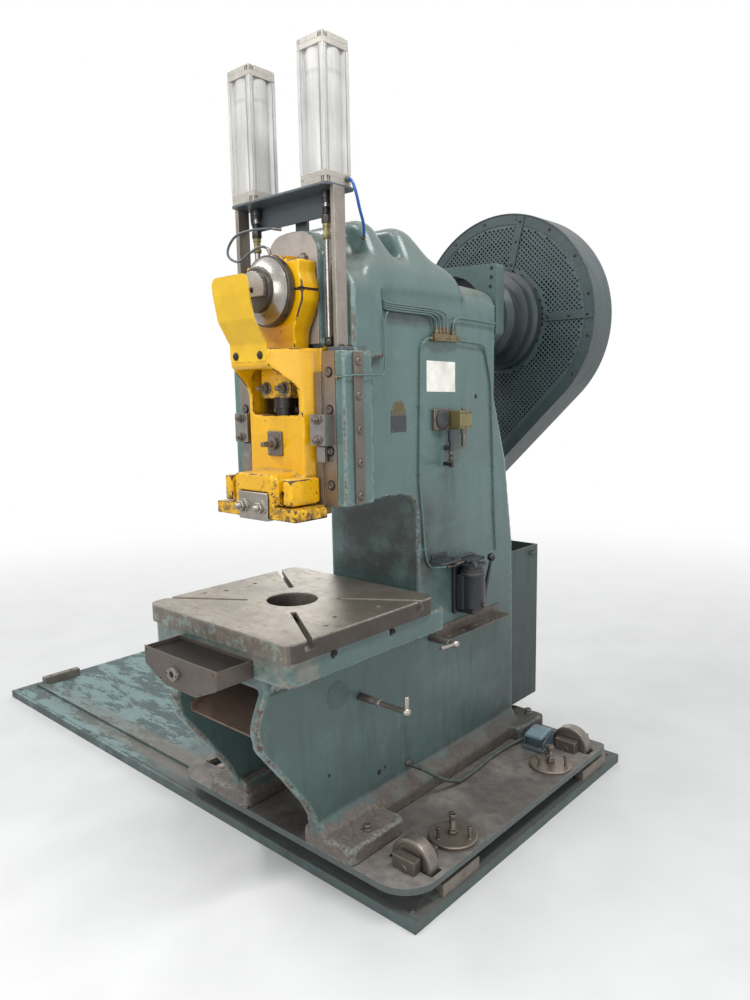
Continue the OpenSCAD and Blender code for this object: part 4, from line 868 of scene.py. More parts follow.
def square_radius(t, half, corner, flutes=(), deep=0.0, wide=0.001, barrel=None):
    """Distance from the middle to a square's side at angle t, its corners cut back and flutes sunk along its sides.
    barrel is the radius of the round part between the corner columns."""
    u = (t + pi / 4) % (pi / 2) - pi / 4
    side = half / np.cos(u)
    along = side * np.abs(np.sin(u))
    r = np.minimum(side, corner)
    for a in flutes:
        r = r - deep * np.exp(-(((along - a) / wide) ** 4))
    return r if barrel is None else np.where(along > 0.0365, r, barrel)


def make_cylinders():
    """Two profile tubes with four fluted columns round a barrel, and their cast caps with screw notches at the
    corners."""
    tubes, caps, screws, collars = several(4)
    t = np.arange(480) * pi / 240 + 0.002
    way = np.stack([np.cos(t), np.sin(t)], -1)
    for s in SIDES:
        c = np.array([s * CYL_X, CYL_Y])
        tube = way * square_radius(t, 0.0545, 0.0752, (0.0415, 0.0478), 0.0018, 0.0012, 0.0524)[:, None] + c
        plain = way * square_radius(t, 0.0554, 0.0738)[:, None] + c
        cut = way * square_radius(t, 0.0554, 0.0738, (0.0392, 0.0478), 0.006, 0.0025)[:, None] + c
        tubes.add(*prism(tube, 2.1755, 2.5155, "xy"))
        for cap, lo, hi in ((cut, 2.1424, 2.159), (plain, 2.159, 2.176), (plain, 2.515, 2.5305), (cut, 2.5305, 2.547)):
            caps.add(*prism(cap, lo, hi, "xy", 0.0007))
        for dx in SIDES:
            for dy in SIDES:
                screws.add(*lathe([(6.6, 0), (6.6, 1.6), (3.4, 1.7), (3, 0.4)],
                    (c[0] + dx * 0.043, c[1] + dy * 0.043, 2.5468), UP, 18))
        collars.add(*lathe([(13, -33.5), (13, -24.5), (15, -24), (15.9, -23.2), (15.9, 0)], (c[0], c[1], 2.1342), UP,
            36))
    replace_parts(tubes.make("cylinder_profiles", "alu", sharp=25), "cylinder_tubes")
    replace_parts(caps.make("cylinder_ends", "alu_cast", sharp=25), "cylinder_caps")
    screws.make("cylinder_screws", "black_steel")
    collars.make("rod_collars", "black_paint")


def make_deck():
    """Deck sheet with its hanging apron, and two flat posts standing on feet."""
    deck, posts, nuts = several(3)
    deck.add(*slab(-0.222, 0.222, -0.017, 0.114, 2.1342, 2.1419, 0.022, 0.0012))
    apron = outline([(-214, 2134.6, 0), (214, 2134.6, 0), (214, 2066, 45), (-214, 2066, 45)], 10)
    deck.add(*prism(apron, 0.0615, 0.0675, "xz", 0.0008))
    deck.add(*slab(-0.026, 0.026, 0.09, 0.102, 2.0402, 2.1346, 0.004, 0.0008, "xz"))
    for s in SIDES:
        a, b = sorted((s * 0.212, s * 0.228))
        posts.add(*slab(a, b, 0.01, 0.056, 1.6765, 2.1346, 0.0016, 0.0005))
        a, b = sorted((s * 0.19, s * 0.25))
        deck.add(*slab(a, b, 0.0042, 0.0598, 1.6652, 1.6768, 0.004, 0.0012))
        for y in (0.016, 0.05):
            nuts.add(*hexagon(0.0075, 0.0, 0.006, (s * 0.24, y, 1.6765), UP))
        for x in (0.095, 0.2):
            nuts.add(*hexagon(0.0085, 0.0, 0.0058, (s * x, 0.104, 2.1418), UP))
    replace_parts(deck.make("deck_sheets", "deck"), "cylinder_frame")
    posts.make("deck_posts", "post")
    nuts.make("deck_nuts", "black_steel")


def make_rod_fittings():
    """Couplings and lock nuts on the two piston rods, brass rings over steel ones."""
    nuts, rings = several(2)
    ring = [(12.2, 1995), (13.4, 1996.5), (13.4, 2008), (11.2, 2011), (11.2, 2029), (13, 2031), (13, 2040.5)]
    for s in SIDES:
        at = (s * CYL_X, CYL_Y, 0)
        for lo, hi, r in ((2.0415, 2.0645, 0.0165), (1.6835, 1.7005, 0.0165), (1.701, 1.7085, 0.0142)):
            nuts.add(*hexagon(r, lo, hi, at, UP))
        nuts.add(*lathe([(11.2, 2065), (12, 2066.5), (12, 2086), (11.2, 2087.5)], at, UP, 28))
        rings.add(*lathe(ring, at, UP, 28))
    nuts.make("rod_nuts", "black_steel", "ram")
    rings.make("rod_rings", "brass_pale", "ram")


# Hoses and oil pipes


def bent(points, radius, n=7):
    """Route whose inner corners become quadratic arcs starting radius before the corner, or half a leg before it."""
    p = np.asarray(points, float)
    t = np.linspace(0, 1, n)[:, None]
    out = [p[:1]]
    for k in range(1, len(p) - 1):
        a, b = p[k - 1] - p[k], p[k + 1] - p[k]
        la, lb = np.linalg.norm(a), np.linalg.norm(b)
        s, e = p[k] + a / la * min(radius, la * 0.5), p[k] + b / lb * min(radius, lb * 0.5)
        out.append((1 - t) ** 2 * s + 2 * t * (1 - t) * p[k] + t**2 * e)
    p = np.vstack(out + [p[-1:]])
    return p[np.concatenate([[True], np.linalg.norm(np.diff(p, axis=0), axis=1) > 2e-4])]


def make_hoses():
    """Dark loop to the rod's lubricator and the blue air hose, with crimped ends."""
    loop = curve_through(np.array([
        (-30, 34, 2050), (-60, 10, 2054), (-120, -20, 2052), (-175, -34, 2040), (-205, -42, 2005), (-195, -46, 1975),
        (-150, -44, 1958), (-104, -38, 1978), (-66, -28, 1994), (-42, -18, 1988), (-32, -12, 1966.5),
    ]) / 1000, 8)
    hose = made("lubricator_hose", *sweep(loop, 0.004, 12), "hose_dark", "connecting_rod", sharp=80)
    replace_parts(hose, "lube_hose")
    blue = curve_through(np.array([[218.8, 74, 2160], [230, 74.5, 2160], [242, 76, 2148], [248, 84, 2116],
        [236, 110, 2080], [212, 150, 2052], [184, 184, 2031], [171, 196.5, 2023.5]]) / 1000, 8)
    air = made("blue_air_hose", *sweep(blue, 0.0046, 12), "hose_blue", sharp=80)
    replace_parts(air, "air_hose")
    ends, nuts = several(2)
    ends.add(*sweep(loop[:7], 0.0056, 14)).add(*sweep(loop[-9:-1], 0.0056, 14))
    ends.make("hose_ferrules", "steel", "connecting_rod", sharp=80)
    nuts.add(*hexagon(0.0085, 0.0, 0.01, (0.2178, 0.074, 2.16), RIGHT))
    nuts.add(*hexagon(0.0085, 0.0, 0.01, (0.1655, 0.2015, 2.019), (0.5, -0.7, 0.4)))
    nuts.make("air_nipples", "brass")


PIPES_UP = [
    [
        (0.228, 0.492 + 0.02 * k, 1.746), (0.228, 0.492 + 0.02 * k, 1.775 + 0.009 * k),
        (0.228, 0.466 + 0.01 * k, 1.793 + 0.007 * k), (0.228, 0.24, 1.797 + 0.007 * k),
        (0.228, 0.2165, 1.8025 + 0.007 * k),
    ]
    for k in range(4)
]
PIPES_DOWN = [
    [(228, 588, 1746), (228, 588, 1776), (228, 612, 1794), (228, 700, 1791), (228, 862, 1784)],
    [(228, 470, 1716), (228, 440, 1716), (220.5, 414, 1690), (220.5, 401, 1235), (220.5, 421, 1078),
        (220.5, 431, 970), (220.5, 455, 918), (245, 520, 914)],
    [(228, 612, 1716), (228, 770, 1706), (220.5, 800, 1690), (220.5, 840, 1561), (220.5, 859, 1239),
        (220.5, 867, 1057), (220.5, 880, 930), (220.5, 880, 912)],
    [(244, 222, 1788), (244, 207, 1770), (244, 204, 1612), (257, 184, 1592), (272, 120, 1592), (272, 30, 1592),
        (268, -6, 1588), (234, -6, 1586)],
]


def make_pipes():
    """Painted oil pipes on the right wall with 30 mm bends, their nuts, saddle clips and the brass distributor."""
    pipes, nuts, clips, block = several(4)
    for route in PIPES_UP:
        pipes.add(*sweep(bent(route, 0.022), 0.0031, 10, up=RIGHT))
        nuts.add(*hexagon(0.0075, 1.7325, 1.7455, (0.228, route[0][1], 0), UP))
        nuts.add(*lathe([(4.8, 1745.5), (4.8, 1753), (3.6, 1756)], (0.228, route[0][1], 0), UP, 12))
    for k, route in enumerate(PIPES_DOWN):
        pipes.add(*sweep(bent(np.array(route) / 1000, 0.03), 0.0036 if k < 3 else 0.003, 10, up=RIGHT))
    nuts.add(*hexagon(0.0075, 1.7325, 1.7455, (0.228, 0.588, 0), UP))
    for y, z, way in ((0.47, 1.716, FRONT), (0.612, 1.716, BACK)):
        nuts.add(*hexagon(0.0075, 0.0, 0.012, (0.228, y, z), way))
    nuts.add(*hexagon(0.0068, 0.0, 0.009, (0.2335, -0.006, 1.586), RIGHT))
    for y, z in ((0.4075, 1.49), (0.403, 1.26), (0.4185, 1.1), (0.4285, 0.99), (0.8445, 1.48), (0.8585, 1.25),
        (0.8665, 1.07), (0.82, 1.633)):
        clips.add(*slab(0.215, 0.2163, y - 0.013, y + 0.013, z - 0.0045, z + 0.0045, 0.002, 0.0003, "yz"))
        clips.add(*slab(0.215, 0.2246, y - 0.0052, y + 0.0052, z - 0.0045, z + 0.0045, 0.004, 0.0005, "xz"))
    block.each(
        slab,
        (ON_WALL, 0.2408, 0.4702, 0.548, 1.7082, 1.732, 0.002, 0.0012, "yz"),
        (ON_WALL, 0.2375, 0.5486, 0.6118, 1.7082, 1.73, 0.002, 0.0012, "yz"),
        (ON_WALL, 0.2266, 0.6002, 0.6078, 1.729, 1.7748, 0.003, 0.0008, "yz"),
    )
    for y in (0.48, 0.538, 0.56, 0.602):
        block.add(*hexagon(0.0058, 0.0, 0.0042, (0.24 if y < 0.55 else 0.237, y, 1.72), RIGHT))
    for y in (0.492, 0.512, 0.532, 0.552, 0.588):
        block.add(*lathe([(6.6, 1730), (6.6, 1733), (5.2, 1734)], (0.228, y, 0), UP, 14))
    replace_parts(pipes.make("pipe_runs", "pipe", sharp=60), "oil_pipes")
    clips.make("pipe_clips", "pipe")
    nuts.make("pipe_nuts", "brass")
    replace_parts(block.make("distributor_block", "brass"), "oil_distributor")


# Wall fittings: plates, paper, air unit and oil pump


def ring_slab(outer, inner, lo, hi, plane, edge=0.0006):
    """Flat ring between two outlines with equal numbers of points, with chamfered outer rims."""
    a, fa = prism(outer, lo, hi, plane, edge)
    b, _ = prism(inner, lo, hi, plane, 0.0)
    n, rows = len(outer), 4 if edge > 0 else 2
    faces = [f for f in fa if len(f) == 4]
    k = np.arange(n)
    j = (k + 1) % n
    first, last, low, high = 0, (rows - 1) * n, rows * n, (rows + 1) * n
    faces += np.stack([low + k, low + j, first + j, first + k], -1).tolist()
    faces += np.stack([last + k, last + j, high + j, high + k], -1).tolist()
    faces += np.stack([low + k, high + k, high + j, low + j], -1).tolist()
    return np.vstack([a, b]), faces


def oval(cu, cv, ru, rv, n, turn=0.0):
    """Oval outline of n points round (cu, cv) with half widths ru and rv."""
    t = np.arange(n) * 2 * pi / n + turn
    return np.stack([cu + ru * np.cos(t), cv + rv * np.sin(t)], -1)


def even(shape, n):
    """The same closed outline with n points equally far apart."""
    o = np.vstack([shape, shape[:1]])
    s = np.concatenate([[0], np.cumsum(np.linalg.norm(np.diff(o, axis=0), axis=1))])
    q = np.arange(n) * s[-1] / n
    return np.stack([np.interp(q, s, o[:, 0]), np.interp(q, s, o[:, 1])], -1)


def make_wall_plates():
    """Blank paper sheet, bare name plates with rivets, the plugs and dark spots of the right wall, and holes drawn as
    dark discs of painted shade.
    """
    u, v = np.meshgrid(np.linspace(0, 1, 13), np.linspace(0, 1, 13), indexing="ij")
    lift = 0.0006 + 0.0022 * held(u - 0.55) ** 2 * 4 * held(0.35 - v) + 0.0003 * np.sin(u * 5.0) * np.sin(v * 4.0)
    y, z = 0.452 + 0.164 * u, 1.538 + 0.105 * v - 0.004 * u
    front = np.stack([WALL + lift, y, z], -1).reshape(-1, 3)
    back = front - (0.00035, 0, 0)
    made("blank_paper", np.vstack([front, back]), sheet_faces(*u.shape), "paper", sharp=60)
    arch = outline([(264, 1464, 2), (338, 1464, 2), (338, 1480, 2), (330, 1486, 4), (324, 1509, 12), (278, 1509, 12),
        (272, 1486, 4), (264, 1480, 2)], 5)
    made("bare_brass_plate", *prism(arch, WALL, WALL + 0.0014, "yz", 0.0003), "plate_brass")
    dark = slab(WALL, WALL + 0.0016, 0.262, 0.34, 1.408, 1.4615, 0.003, 0.0004, "yz")
    made("bare_dark_plate", *dark, "plate_dark")
    rivets = Parts()
    for y, z in ((0.266, 1.412), (0.336, 1.412), (0.266, 1.4575), (0.336, 1.4575), (0.269, 1.47), (0.333, 1.47),
        (0.301, 1.5035)):
        rivets.add(*lathe([(2.2, 0), (2, 0.8), (1.1, 1.3)], (WALL + 0.0012, y, z), RIGHT, 10))
    rivets.make("plate_rivets", "brass_pale")
    spots = Parts()
    for y, z, r in ((0.746, 1.516, 0.0085), (0.205, 0.268, 0.006), (-0.06, 0.345, 0.006), (0.175, 0.262, 0.01)):
        spots.add(*spun([(r, 0), (r * 0.96, 0.0006), (r * 0.5, 0.0008)], (WALL - 0.0001, y, z), RIGHT, 20))
    # Holes drawn as dark discs: painted shade.
    for x, z in ((-0.03, 1.994), (-0.028, 1.97), (0.193, 1.993), (0.192, 1.96), (0.188, 1.926)):
        spots.add(*lathe([(7.2, 0), (7, 0.5), (3, 0.6)], (x, 0.8814, z), FRONT, 20))
    spots.make("wall_hole_shade", "hole_shade")
    plug = lathe([(47, -1), (46.2, 0.9), (44, 1.2), (42, 0.4), (30, 0.6)], (WALL, -0.016, 0.598), RIGHT, 56)
    made("wall_plug", *plug, "bracket", sharp=70)


def make_air_unit():
    """Air unit: mounting plate, dark round cover, two brass bodies with a bright screw and tubes, and the pressure
    switch below."""
    brass, dark, steel = several(3)
    plate = slab(ON_WALL, 0.2288, 0.4784, 0.5656, 1.4024, 1.4776, 0.006, 0.0022, "yz")
    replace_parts(made("air_unit_plate", *plate, "worn"), "air_unit")
    dark.add(*lathe([(34, 0), (34, 5), (32.5, 6.6), (23, 7.8), (22.5, 7), (6, 7.2)], (0.2285, 0.522, 1.44), RIGHT, 44))
    brass.add(*slab(ON_WALL, 0.2708, 0.5722, 0.6098, 1.4044, 1.47, 0.004, 0.0016, "yz"))
    brass.add(*slab(ON_WALL, 0.266, 0.6104, 0.6496, 1.4044, 1.466, 0.008, 0.0016, "yz"))
    for y in (0.58, 0.603, 0.619, 0.641):
        for z in (1.412, 1.461):
            steel.add(*socket_head(0.0038, 0.003, (0.2706 if y < 0.61 else 0.2658, y, z), RIGHT))
    for y, z in ((0.485, 1.4085), (0.559, 1.4085), (0.485, 1.4715), (0.559, 1.4715)):
        steel.add(*socket_head(0.0036, 0.0026, (0.2286, y, z), RIGHT))
    tube, switch = (0.243, 0.63, 0), (0.243, 0.556, 0)
    steel.add(*hexagon(0.009, 1.469, 1.4745, tube, UP))
    steel.add(*lathe([(5.8, 1474.5), (5.8, 1479), (4, 1479.8)], tube, UP, 20))
    steel.add(*lathe([(9, 1340), (9, 1404.5)], tube, UP, 24)).add(*hexagon(0.0115, 1.386, 1.404, tube, UP))
    steel.add(*sweep(bent([(0.243, 0.63, 1.345), (0.243, 0.624, 1.337), (0.243, 0.6, 1.335), (0.243, 0.556, 1.335)],
        0.008), 0.004, 12))
    dark.add(*lathe([(9, 1270), (9, 1360), (13, 1360.4), (13, 1399), (9, 1400), (9, 1404.5)], switch, UP, 28))
    for z in (1.276, 1.296, 1.316):
        steel.add(*hexagon(0.011, z, z + 0.01, switch, UP))
    dark.add(*slab(ON_WALL, 0.2428, 0.5482, 0.5638, 1.3302, 1.3458, 0.002, 0.001, "yz"))
    steel.add(*lathe([(7, -28), (7, 0)], (0.243, 0.556, 1.286), BACK, 20))
    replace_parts(brass.make("air_unit_bodies", "brass_pale"), "air_unit")
    dark.make("air_unit_cover", "plate_dark")
    steel.make("air_unit_fittings", "bolt")


def make_pump():
    """Oil pump: lipped black pot on a back plate, brown top flange with filler and nuts, and the bent plate with an
    oval hole beside it."""
    pot, top, steel = several(3)
    c = (0.277, 0.64, 0)
    pot.add(*slab(ON_WALL, 0.2308, 0.5902, 0.7298, 0.7202, 0.9298, 0.008, 0.002, "yz"))
    pot.add(*lathe([(40, 745.2), (44, 747.5), (45.5, 752), (45.5, 866), (47.8, 869), (48.6, 873), (47.8, 877.5),
        (44, 880), (43.2, 890), (40, 890.5), (39.8, 905)], c, UP, 56))
    pot.each(
        slab,
        (0.2252, 0.2988, 0.6102, 0.6898, 0.7252, 0.745, 0.006, 0.002),
        (0.2252, 0.2548, 0.5602, 0.7198, 0.9052, 0.9218, 0.004, 0.0015),
        (0.2302, 0.27, 0.593, 0.614, 0.745, 0.87, 0.01, 0.002),
    )
    top.add(*slab(0.236, 0.318, 0.602, 0.678, 0.9045, 0.913, 0.01, 0.0012))
    top.add(*slab(0.233, 0.276, 0.615, 0.719, 0.913, 0.9245, 0.004, 0.0012))
    top.add(*lathe([(15, 913), (15, 918.5), (11, 920), (10, 924.8)], (0.293, 0.625, 0), UP, 26))
    for x, y in ((0.309, 0.611), (0.309, 0.669), (0.245, 0.611)):
        steel.add(*hexagon(0.007, 0.9128, 0.919, (x, y, 0), UP))
    steel.add(*lathe([(7, 0), (7, 55), (6.2, 57.5)], (0.2312, 0.706, 0.76), RIGHT, 22))
    steel.add(*hexagon(0.01, 0.055, 0.0625, (0.2312, 0.706, 0.76), RIGHT))
    steel.add(*lathe([(8.8, 0), (8.8, 14), (6, 16)], (0.318, 0.64, 0.76), RIGHT, 22))
    steel.add(*sweep(bent([(0.264, 0.6, 0.9215), (0.264, 0.58, 0.9215), (0.256, 0.545, 0.915), (0.248, 0.524, 0.914)],
        0.01), 0.004, 10))
    holder = even(outline([(215.5, 453, 4), (284.8, 453, 12), (284.8, 565, 12), (215.5, 565, 4)], 6), 48)
    k = int(np.argmax(holder @ np.array([1.0, 0.3])))
    holder = np.roll(holder, -k, 0)
    start = atan2(holder[0, 1] - 0.509, holder[0, 0] - 0.251)
    top.add(*ring_slab(holder, oval(0.251, 0.509, 0.0215, 0.04, 48, start), 0.9362, 0.9438, "xy"))
    top.add(*slab(ON_WALL, 0.2205, 0.471, 0.559, 0.9402, 0.9618, 0.003, 0.0008, "yz"))
    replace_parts(pot.make("pump_pot", "black_paint"), "oil_pump")
    top.make("pump_top", "plate_dark")
    steel.make("pump_fittings", "bolt")
    pivot, tip = np.array([0.277, 0.706, 0.76]), np.array([0.291, 0.74, 0.918])
    lever = Parts().add(*lathe([(14, -6), (15, -5.2), (15, 7.2), (14, 8)], pivot, RIGHT, 30))
    reach = np.linspace(0.01, 1, 14)[:, None]
    lever.add(*sweep(pivot + (1e-3, 0, 0) + (tip - pivot) * reach * 0.93, np.linspace(0.0086, 0.0058, 14), 14))
    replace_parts(lever.make("pump_handle", "black_paint", "pump_lever"), "pump_lever")
    a = np.linspace(-1.35, 1.5708, 16)
    ball = spun(np.stack([0.0158 * np.cos(a) + 1e-5, 0.0158 * np.sin(a)], -1), tip, tip - pivot, 32)
    made("pump_knob", *ball, "knob", "pump_lever")


# Carriage: rollers, axle blocks, levelling discs and stop bars


ROLLERS = {
    "roller_front_right": (0.484, 0.034, 0.124, 0.076, 0.016),
    "roller_rear_right": (0.484, 1.034, 0.124, 0.076, 0.016),
    "roller_front_left": (-0.484, 0.034, 0.081, 0.033, 0.0119),
    "roller_rear_left": (-0.484, 1.034, 0.081, 0.033, 0.0119),
}
DISCS = ((0.494, 0.215), (0.5, 0.835), (-0.494, 0.215), (-0.5, 0.835))


def lathe_ring(profile, centre, axis, n=64):
    """Ring turned from a closed profile of (radius, height)."""
    points, faces = spun(profile, centre, axis, n)
    rows = len(profile)
    last = np.arange(n) + (rows - 1) * n
    k = np.arange(n)
    return points, faces[:-2] + np.stack([last, np.roll(last, -1), (k + 1) % n, k], -1).tolist()


def make_rollers():
    """Rollers with chamfered treads, a sunk web and a hub, one for each rolling body."""
    for name, (x, y, z, r, hole) in ROLLERS.items():
        h = hole + 0.00006
        half = [
            (h, 0.0), (h, 0.0195), (h + 0.0015, 0.0218), (hole + r * 0.13, 0.0218), (hole + r * 0.15, 0.0192),
            (r * 0.78, 0.0192), (r * 0.8, 0.0208), (r * 0.82, 0.0218), (r - 0.0035, 0.0219), (r - 0.0008, 0.0205),
            (r, 0.018), (r, 0.0),
        ]
        profile = [(a, -b) for a, b in half[::-1][1:]] + half[1:]
        ring = lathe_ring(profile[::-1], (x, y, z), BACK, 96 if r > 0.05 else 48)
        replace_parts(made(name + "_turned", *ring, "roller", name, sharp=30), name)


def make_axle_blocks():
    """Axle blocks with broken edges, the ends of their pins and a washer, and the low blocks on the left."""
    blocks, pins = several(2)
    for y in (0.034, 1.034):
        for s in SIDES:
            y0 = y + s * 0.042
            blocks.add(*slab(0.4412, 0.5268, y0 - 0.0178, y0 + 0.0178, 0.1162, 0.1598, 0.0022, 0.0022, "xz"))
            pins.add(*lathe([(15.8, -38.5), (15.8, 0.2), (14.8, 1.6), (10.5, 1.7), (10, 1)],
                (0.484, y + s * 0.06, 0.124), (0, s, 0), 36))
            blocks.add(*slab(-0.5038, -0.4642, y + s * 0.036 - 0.0098, y + s * 0.036 + 0.0098, 0.0672, 0.094, 0.002,
                0.0012, "xz"))
            pins.add(*lathe([(11.8, -30), (11.8, 0), (10.5, 1.2)], (-0.484, y + s * 0.0458, 0.081), (0, s, 0), 28))
        blocks.add(*slab(-0.5458, -0.5242, y - 0.028, y + 0.028, 0.116, 0.1258, 0.003, 0.0012))
    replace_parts(blocks.make("axle_block_set", "worn"), "axle_blocks")
    pins.make("axle_pins", "worn")


def threaded(r, lo, hi, centre, axis, pitch=0.00175, n=22):
    """Threaded rod: rings in turn at the crest and the root."""
    z = np.arange(lo, hi, pitch / 2)
    rows = np.stack([np.where(np.arange(len(z)) % 2 == 0, r, r - 0.0009), z], -1)
    return spun([(r - 0.002, lo - 1e-4), *rows.tolist(), (r - 0.002, hi + 4e-4)], centre, axis, n)


def make_discs():
    """Levelling discs with a bright rolled rim, three cap screws and a threaded centre screw with its nut."""
    plates, screws = several(2)
    for x, y in DISCS:
        at = (x, y, PLATE_TOP)
        plates.add(*lathe([(76.8, 0), (76.8, 6.2), (78.6, 7), (79.9, 8.4), (80, 11.2), (79.2, 12.8), (77.6, 13.7),
            (74.2, 13.9), (60, 13.9), (32, 13.8), (24, 13.9)], at, UP, 96))
        screws.add(*hexagon(0.0155, 0.014, 0.0265, at, UP)).add(*hexagon(0.013, 0.027, 0.0345, at, UP))
        screws.add(*threaded(0.0085, 0.034, 0.064, at, UP))
        screws.add(*lathe([(12, 0), (12.5, 1), (12.5, 15.5), (11.2, 17.6), (7, 17.7), (6.4, 16.5), (6.2, 8)],
            (x, y, PLATE_TOP + 0.064), UP, 6))
        for a in np.radians((12, 132, 252)):
            p = (x + 0.058 * cos(a), y + 0.058 * sin(a), PLATE_TOP)
            screws.add(*lathe([(5.4, 13.8), (5.4, 44)], p, UP, 18))
            screws.add(*socket_head(0.0084, 0.0116, (p[0], p[1], PLATE_TOP + 0.044), UP))
            screws.add(*lathe([(8, 13.8), (8, 15), (6.6, 15.6)], p, UP, 18))
    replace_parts(plates.make("levelling_plates", "disc", sharp=35), "levelling_discs")
    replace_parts(screws.make("levelling_studs", "bolt"), "levelling_screws")


def make_stop_bars():
    """Stop bars with broken edges and two screw holes each drawn as dark discs of painted shade, and the screws at the
    floor plate's corners.
    """
    bars, holes, screws = several(3)
    for x0 in (0.5456, -2.0553):
        for y0 in (0.0467, 0.9437):
            bars.add(*slab(x0, x0 + 0.0356, y0, y0 + 0.1906, 0.0338, 0.0763, 0.0015, 0.0015))
            for y in (y0 + 0.038, y0 + 0.15):
                # Screw holes drawn as dark discs: painted shade.
                holes.add(*lathe([(6.2, 0), (6, 0.4), (3, 0.5)], (x0 + 0.0178, y, 0.0762), UP, 20))
    for x, y in ((-2.076, -0.059), (0.548, -0.059), (-2.076, 1.213), (0.548, 1.213)):
        screws.add(*lathe([(12.5, 0), (12.5, 1.8), (9, 2), (9, 5.2), (8, 6.2), (4.6, 6.2), (4.2, 4)], (x, y, 0.0338),
            UP, 22))
    screws.add(*slab(0.5, 0.532, 0.555, 0.59, 0.034, 0.044, 0.003, 0.001))
    screws.add(*hexagon(0.0085, 0.0438, 0.051, (0.516, 0.572, 0), UP))
    bars.make("stop_bar_set", "stop", "base")
    holes.make("stop_bar_hole_shade", "hole_shade", "base")
    screws.make("floor_screws", "bolt", "base")


# Table: tool box under its front edge, screws of the bed and the cranks


def make_front_box():
    """Steel box under the table: tapered front with bent rims, a dark lid sunk below the rim that stands in for the
    shade inside the box, a rhombic flange with a bored boss, and dark discs of painted shade in the bore, the flange's
    holes and at the latch screws."""
    shell, flange, dark = several(3)
    corners = [(-0.18, 0.79, 0.006), (-0.18, 0.735, 0.012), (-0.075, 0.69, 0.02), (0.075, 0.69, 0.02),
        (0.18, 0.735, 0.012), (0.18, 0.79, 0.006)]
    shell.add(*prism(rounded(corners, 5), -0.4448, -0.4405, "xz", 0.0016))
    # Dark block filling the box under its rim, standing in for the shade inside: painted shade.
    sides = rounded([(-0.18, 0.79, 0.0), *corners[1:5], (0.18, 0.79, 0.0)], 5)
    sunk = np.minimum(sides * (0.975, 1.0), (1.0, 0.779))
    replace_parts(made("front_box_shade_lid", *prism(sunk, -0.4406, -0.317), "black_steel"), "front_box")
    for x in (-0.1785, 0.1785):
        shell.add(*slab(x - 0.0013, x + 0.0013, -0.441, -0.3162, 0.736, 0.7898, 0.0, 0.0005))
    shell.add(*slab(-0.178, 0.178, -0.318, -0.3158, 0.77, 0.7898, 0.0, 0.0005))
    t = np.linspace(-0.18, 0.18, 41)
    sag = 0.7905 - 0.0022 * np.cos(t / 0.18 * pi * 0.5) ** 2
    rim = np.stack([t, np.full_like(t, -0.4436), sag], -1)
    shell.add(*sweep(rim, 0.0016, 8, up=UP))
    plate = even(outline([(-61, 737, 9), (-25, 712, 20), (11, 737, 9), (-25, 762, 20)], 6), 48)
    plate = np.roll(plate, -int(np.argmax(plate[:, 0])), 0)
    hole = oval(-0.025, 0.737, 0.011, 0.011, 48)
    flange.add(*ring_slab(plate, hole, -0.4548, -0.4442, "xz", 0.001))
    # Dark discs in the bore and the screw holes: painted shade.
    for x in (-0.049, -0.001):
        dark.add(*lathe([(4, 0), (3.6, 0.2)], (x, -0.4548, 0.737), FRONT, 16))
    dark.add(*lathe([(10.8, 0), (10.5, 0.4)], (-0.025, -0.4452, 0.737), FRONT, 28))
    for x, z in ((-0.168, 0.78), (0.168, 0.78), (-0.1, 0.706), (0.1, 0.706)):
        dark.add(*lathe([(3.2, 0), (3, 0.2)], (x, -0.4448, z), FRONT, 14))
    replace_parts(shell.make("front_box_shell", "box"), "front_box")
    flange.make("front_box_flange", "stop")
    dark.make("front_box_hole_shade", "hole_shade")


def make_bed_slots():
    """Dark T-shaped sheets of painted shade on both sides of the bed under the bolster, where the clamping slots end.
    """
    # Thin dark sheets where the slot openings are: painted shade.
    slots = Parts()
    shape = outline([(-5.5, 811.5, 0), (5.5, 811.5, 0), (5.5, 799, 1), (12, 798.5, 1.5), (12, 788, 1.5),
        (-12, 788, 1.5), (-12, 798.5, 1.5), (-5.5, 799, 1)], 2)
    for s in SIDES:
        for y in (-0.139, 0.121):
            a, b = sorted((s * 0.3318, s * 0.3336))
            slots.add(*prism(shape + (y, 0.0), a, b, "yz", 0.0))
    slots.make("bed_slot_shade", "hole_shade")


def make_cranks():
    """Crank handles: cast boss, shaft with a bright sleeve, elbow and grip, each on its own turning body."""
    for body, node, p, reach, grip, boss in (
        ("front_crank", "crank_handle_front", (0.215, 0.089, 0.56), 0.196, (0.0, 0.0, 0.052), 0.0125),
        ("rear_crank", "crank_handle_rear", (0.215, 0.46, 0.662), 0.112, (0.0, -0.084, 0.006), 0.0128),
    ):
        dark, bright = several(2)
        p = np.array(p)
        dark.add(*spun([(0.0088, -0.0285), (0.0088, 0.0012), (boss * 0.9, 0.0014), (boss, 0.0035), (boss, 0.052),
            (boss * 0.8, 0.06), (0.0089, 0.064), (0.0086, reach - 0.012)], p, RIGHT, 28))
        end, way = p + (reach, 0, 0), np.array(grip) / np.linalg.norm(grip)
        bright.add(*lathe([(10.8, 64), (11.5, 65), (11.5, 86), (10.6, 88)], p, RIGHT, 28))
        bright.add(*spun([(0.0102, reach - 0.018), (0.0118, reach - 0.014), (0.0136, reach - 0.007), (0.0139, reach),
            (0.0126, reach + 0.0065), (0.009, reach + 0.011), (0.004, reach + 0.0135)], p, RIGHT, 32))
        length = np.linalg.norm(grip)
        bright.add(*spun([(0.007, 0.006), (0.0074, length * 0.3), (0.008, length * 0.6), (0.008, length - 0.004),
            (0.0068, length - 0.0005), (0.003, length)], end, way, 26))
        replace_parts(dark.make(node + "_shaft", "worn", body, sharp=50), node)
        bright.make(node + "_grip", "crank", body, sharp=50)


# Ram: screws, clamp, lock ring and spindle


